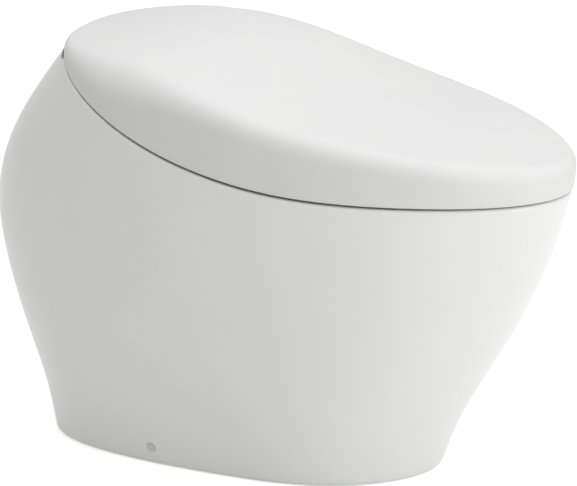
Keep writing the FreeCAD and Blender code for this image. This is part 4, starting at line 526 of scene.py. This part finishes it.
def place_on_lid(made, node):
    """Put a mesh on the lid in place of a solid."""
    made.data.materials.append(MATERIALS["lid"])
    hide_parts(node)
    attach(made, "lid")


lid_sections = [LidSection(2 * math.pi * i / LID_ANGLES) for i in range(LID_ANGLES)]
place_on_lid(lid_cover(lid_sections), "lid_shell")
place_on_lid(lid_inside(lid_sections), "lid_liner")


# Studio ---------------------------------------------------------------------------------


def staged_white(name, shade, lift):
    """A white surface that the camera sees lifted towards white; shadows stay on it."""
    material, tree, shader, where = node_set(name)
    tree.links.new(tint(tree, noise(tree, where, 2, 2), shade, [part * 0.995 for part in shade]),
                   shader.inputs["Base Color"])
    shader.inputs["Roughness"].default_value = 0.9
    shader.inputs["Specular IOR Level"].default_value = 0.1
    path = tree.nodes.new("ShaderNodeLightPath")
    rays = tree.nodes.new("ShaderNodeMath")
    rays.operation = "MAXIMUM"
    tree.links.new(path.outputs["Is Camera Ray"], rays.inputs[0])
    tree.links.new(path.outputs["Is Glossy Ray"], rays.inputs[1])
    strength = tree.nodes.new("ShaderNodeMath")
    strength.operation = "MULTIPLY"
    strength.inputs[1].default_value = lift
    tree.links.new(rays.outputs[0], strength.inputs[0])
    shader.inputs["Emission Color"].default_value = (1, 1, 1, 1)
    tree.links.new(strength.outputs[0], shader.inputs["Emission Strength"])
    return material


def studio_floor():
    """A plain pale floor."""
    reach = 12
    mesh = bpy.data.meshes.new("floor")
    mesh.from_pydata([(-reach, -reach, 0), (reach, -reach, 0), (reach, reach, 0), (-reach, reach, 0)],
                     [], [(0, 1, 2, 3)])
    floor = bpy.data.objects.new("floor", mesh)
    bpy.context.scene.collection.objects.link(floor)
    floor.data.materials.append(staged_white("floor_white", (0.80, 0.80, 0.777), 0.6))


def world_light(strength):
    """Even light from all round; camera and transmission rays see white."""
    world = bpy.data.worlds.new("studio")
    bpy.context.scene.world = world
    world.use_nodes = True
    tree = world.node_tree
    background = tree.nodes["Background"]
    background.inputs["Color"].default_value = (1, 1, 1, 1)
    path = tree.nodes.new("ShaderNodeLightPath")
    seen = tree.nodes.new("ShaderNodeMath")
    seen.operation = "MAXIMUM"
    tree.links.new(path.outputs["Is Camera Ray"], seen.inputs[0])
    tree.links.new(path.outputs["Is Transmission Ray"], seen.inputs[1])
    level = tree.nodes.new("ShaderNodeMapRange")
    level.inputs["To Min"].default_value = strength
    level.inputs["To Max"].default_value = 1.0
    tree.links.new(seen.outputs[0], level.inputs["Value"])
    tree.links.new(level.outputs["Result"], background.inputs["Strength"])


def soft_lamp(name, place, target, width, height, power):
    """A wide lamp that looks at a target."""
    light = bpy.data.lights.new(name, "AREA")
    light.shape = "RECTANGLE"
    light.size = width
    light.size_y = height
    light.energy = power
    lamp = bpy.data.objects.new(name, light)
    bpy.context.scene.collection.objects.link(lamp)
    lamp.location = place
    lamp.rotation_mode = "QUATERNION"
    lamp.rotation_quaternion = (Vector(target) - Vector(place)).to_track_quat("-Z", "Y")


def photo_camera():
    """The photograph's view: from the right side, a little in front and above."""
    azimuth = math.radians(-65.25)
    elevation = math.radians(16.75)
    distance = 4.5999
    focus = 3515.7
    width = 577
    height = 486
    middle_x = 284.64
    middle_y = 249.92
    sensor = 36
    centre = Vector((0, 0, 0.27))
    back = Vector((
        math.sin(azimuth) * math.cos(elevation),
        -math.cos(azimuth) * math.cos(elevation),
        math.sin(elevation)))
    data = bpy.data.cameras.new("camera")
    data.sensor_width = sensor
    data.lens = focus * sensor / width
    data.shift_x = (width / 2 - middle_x) / width
    data.shift_y = (middle_y - height / 2) / width
    data.clip_end = 100
    camera = bpy.data.objects.new("camera", data)
    bpy.context.scene.collection.objects.link(camera)
    camera.location = centre + back * distance
    camera.rotation_mode = "QUATERNION"
    camera.rotation_quaternion = (-back).to_track_quat("-Z", "Y")
    bpy.context.scene.camera = camera


bpy.context.scene.view_settings.view_transform = "Standard"
studio_floor()
world_light(0.442)
soft_lamp("top_light", (0.1, 0.1, 3.0), (0, 0, 0.4), width=3.0, height=3.0, power=40)
soft_lamp("front_light", (-1.2, -1.8, 2.6), (0, 0, 0.4), width=2.4, height=2.4, power=12.5)
soft_lamp("nose_light", (-0.4, -3.2, 0.7), (0, -0.1, 0.25), width=2.4, height=1.2, power=29.5)
photo_camera()
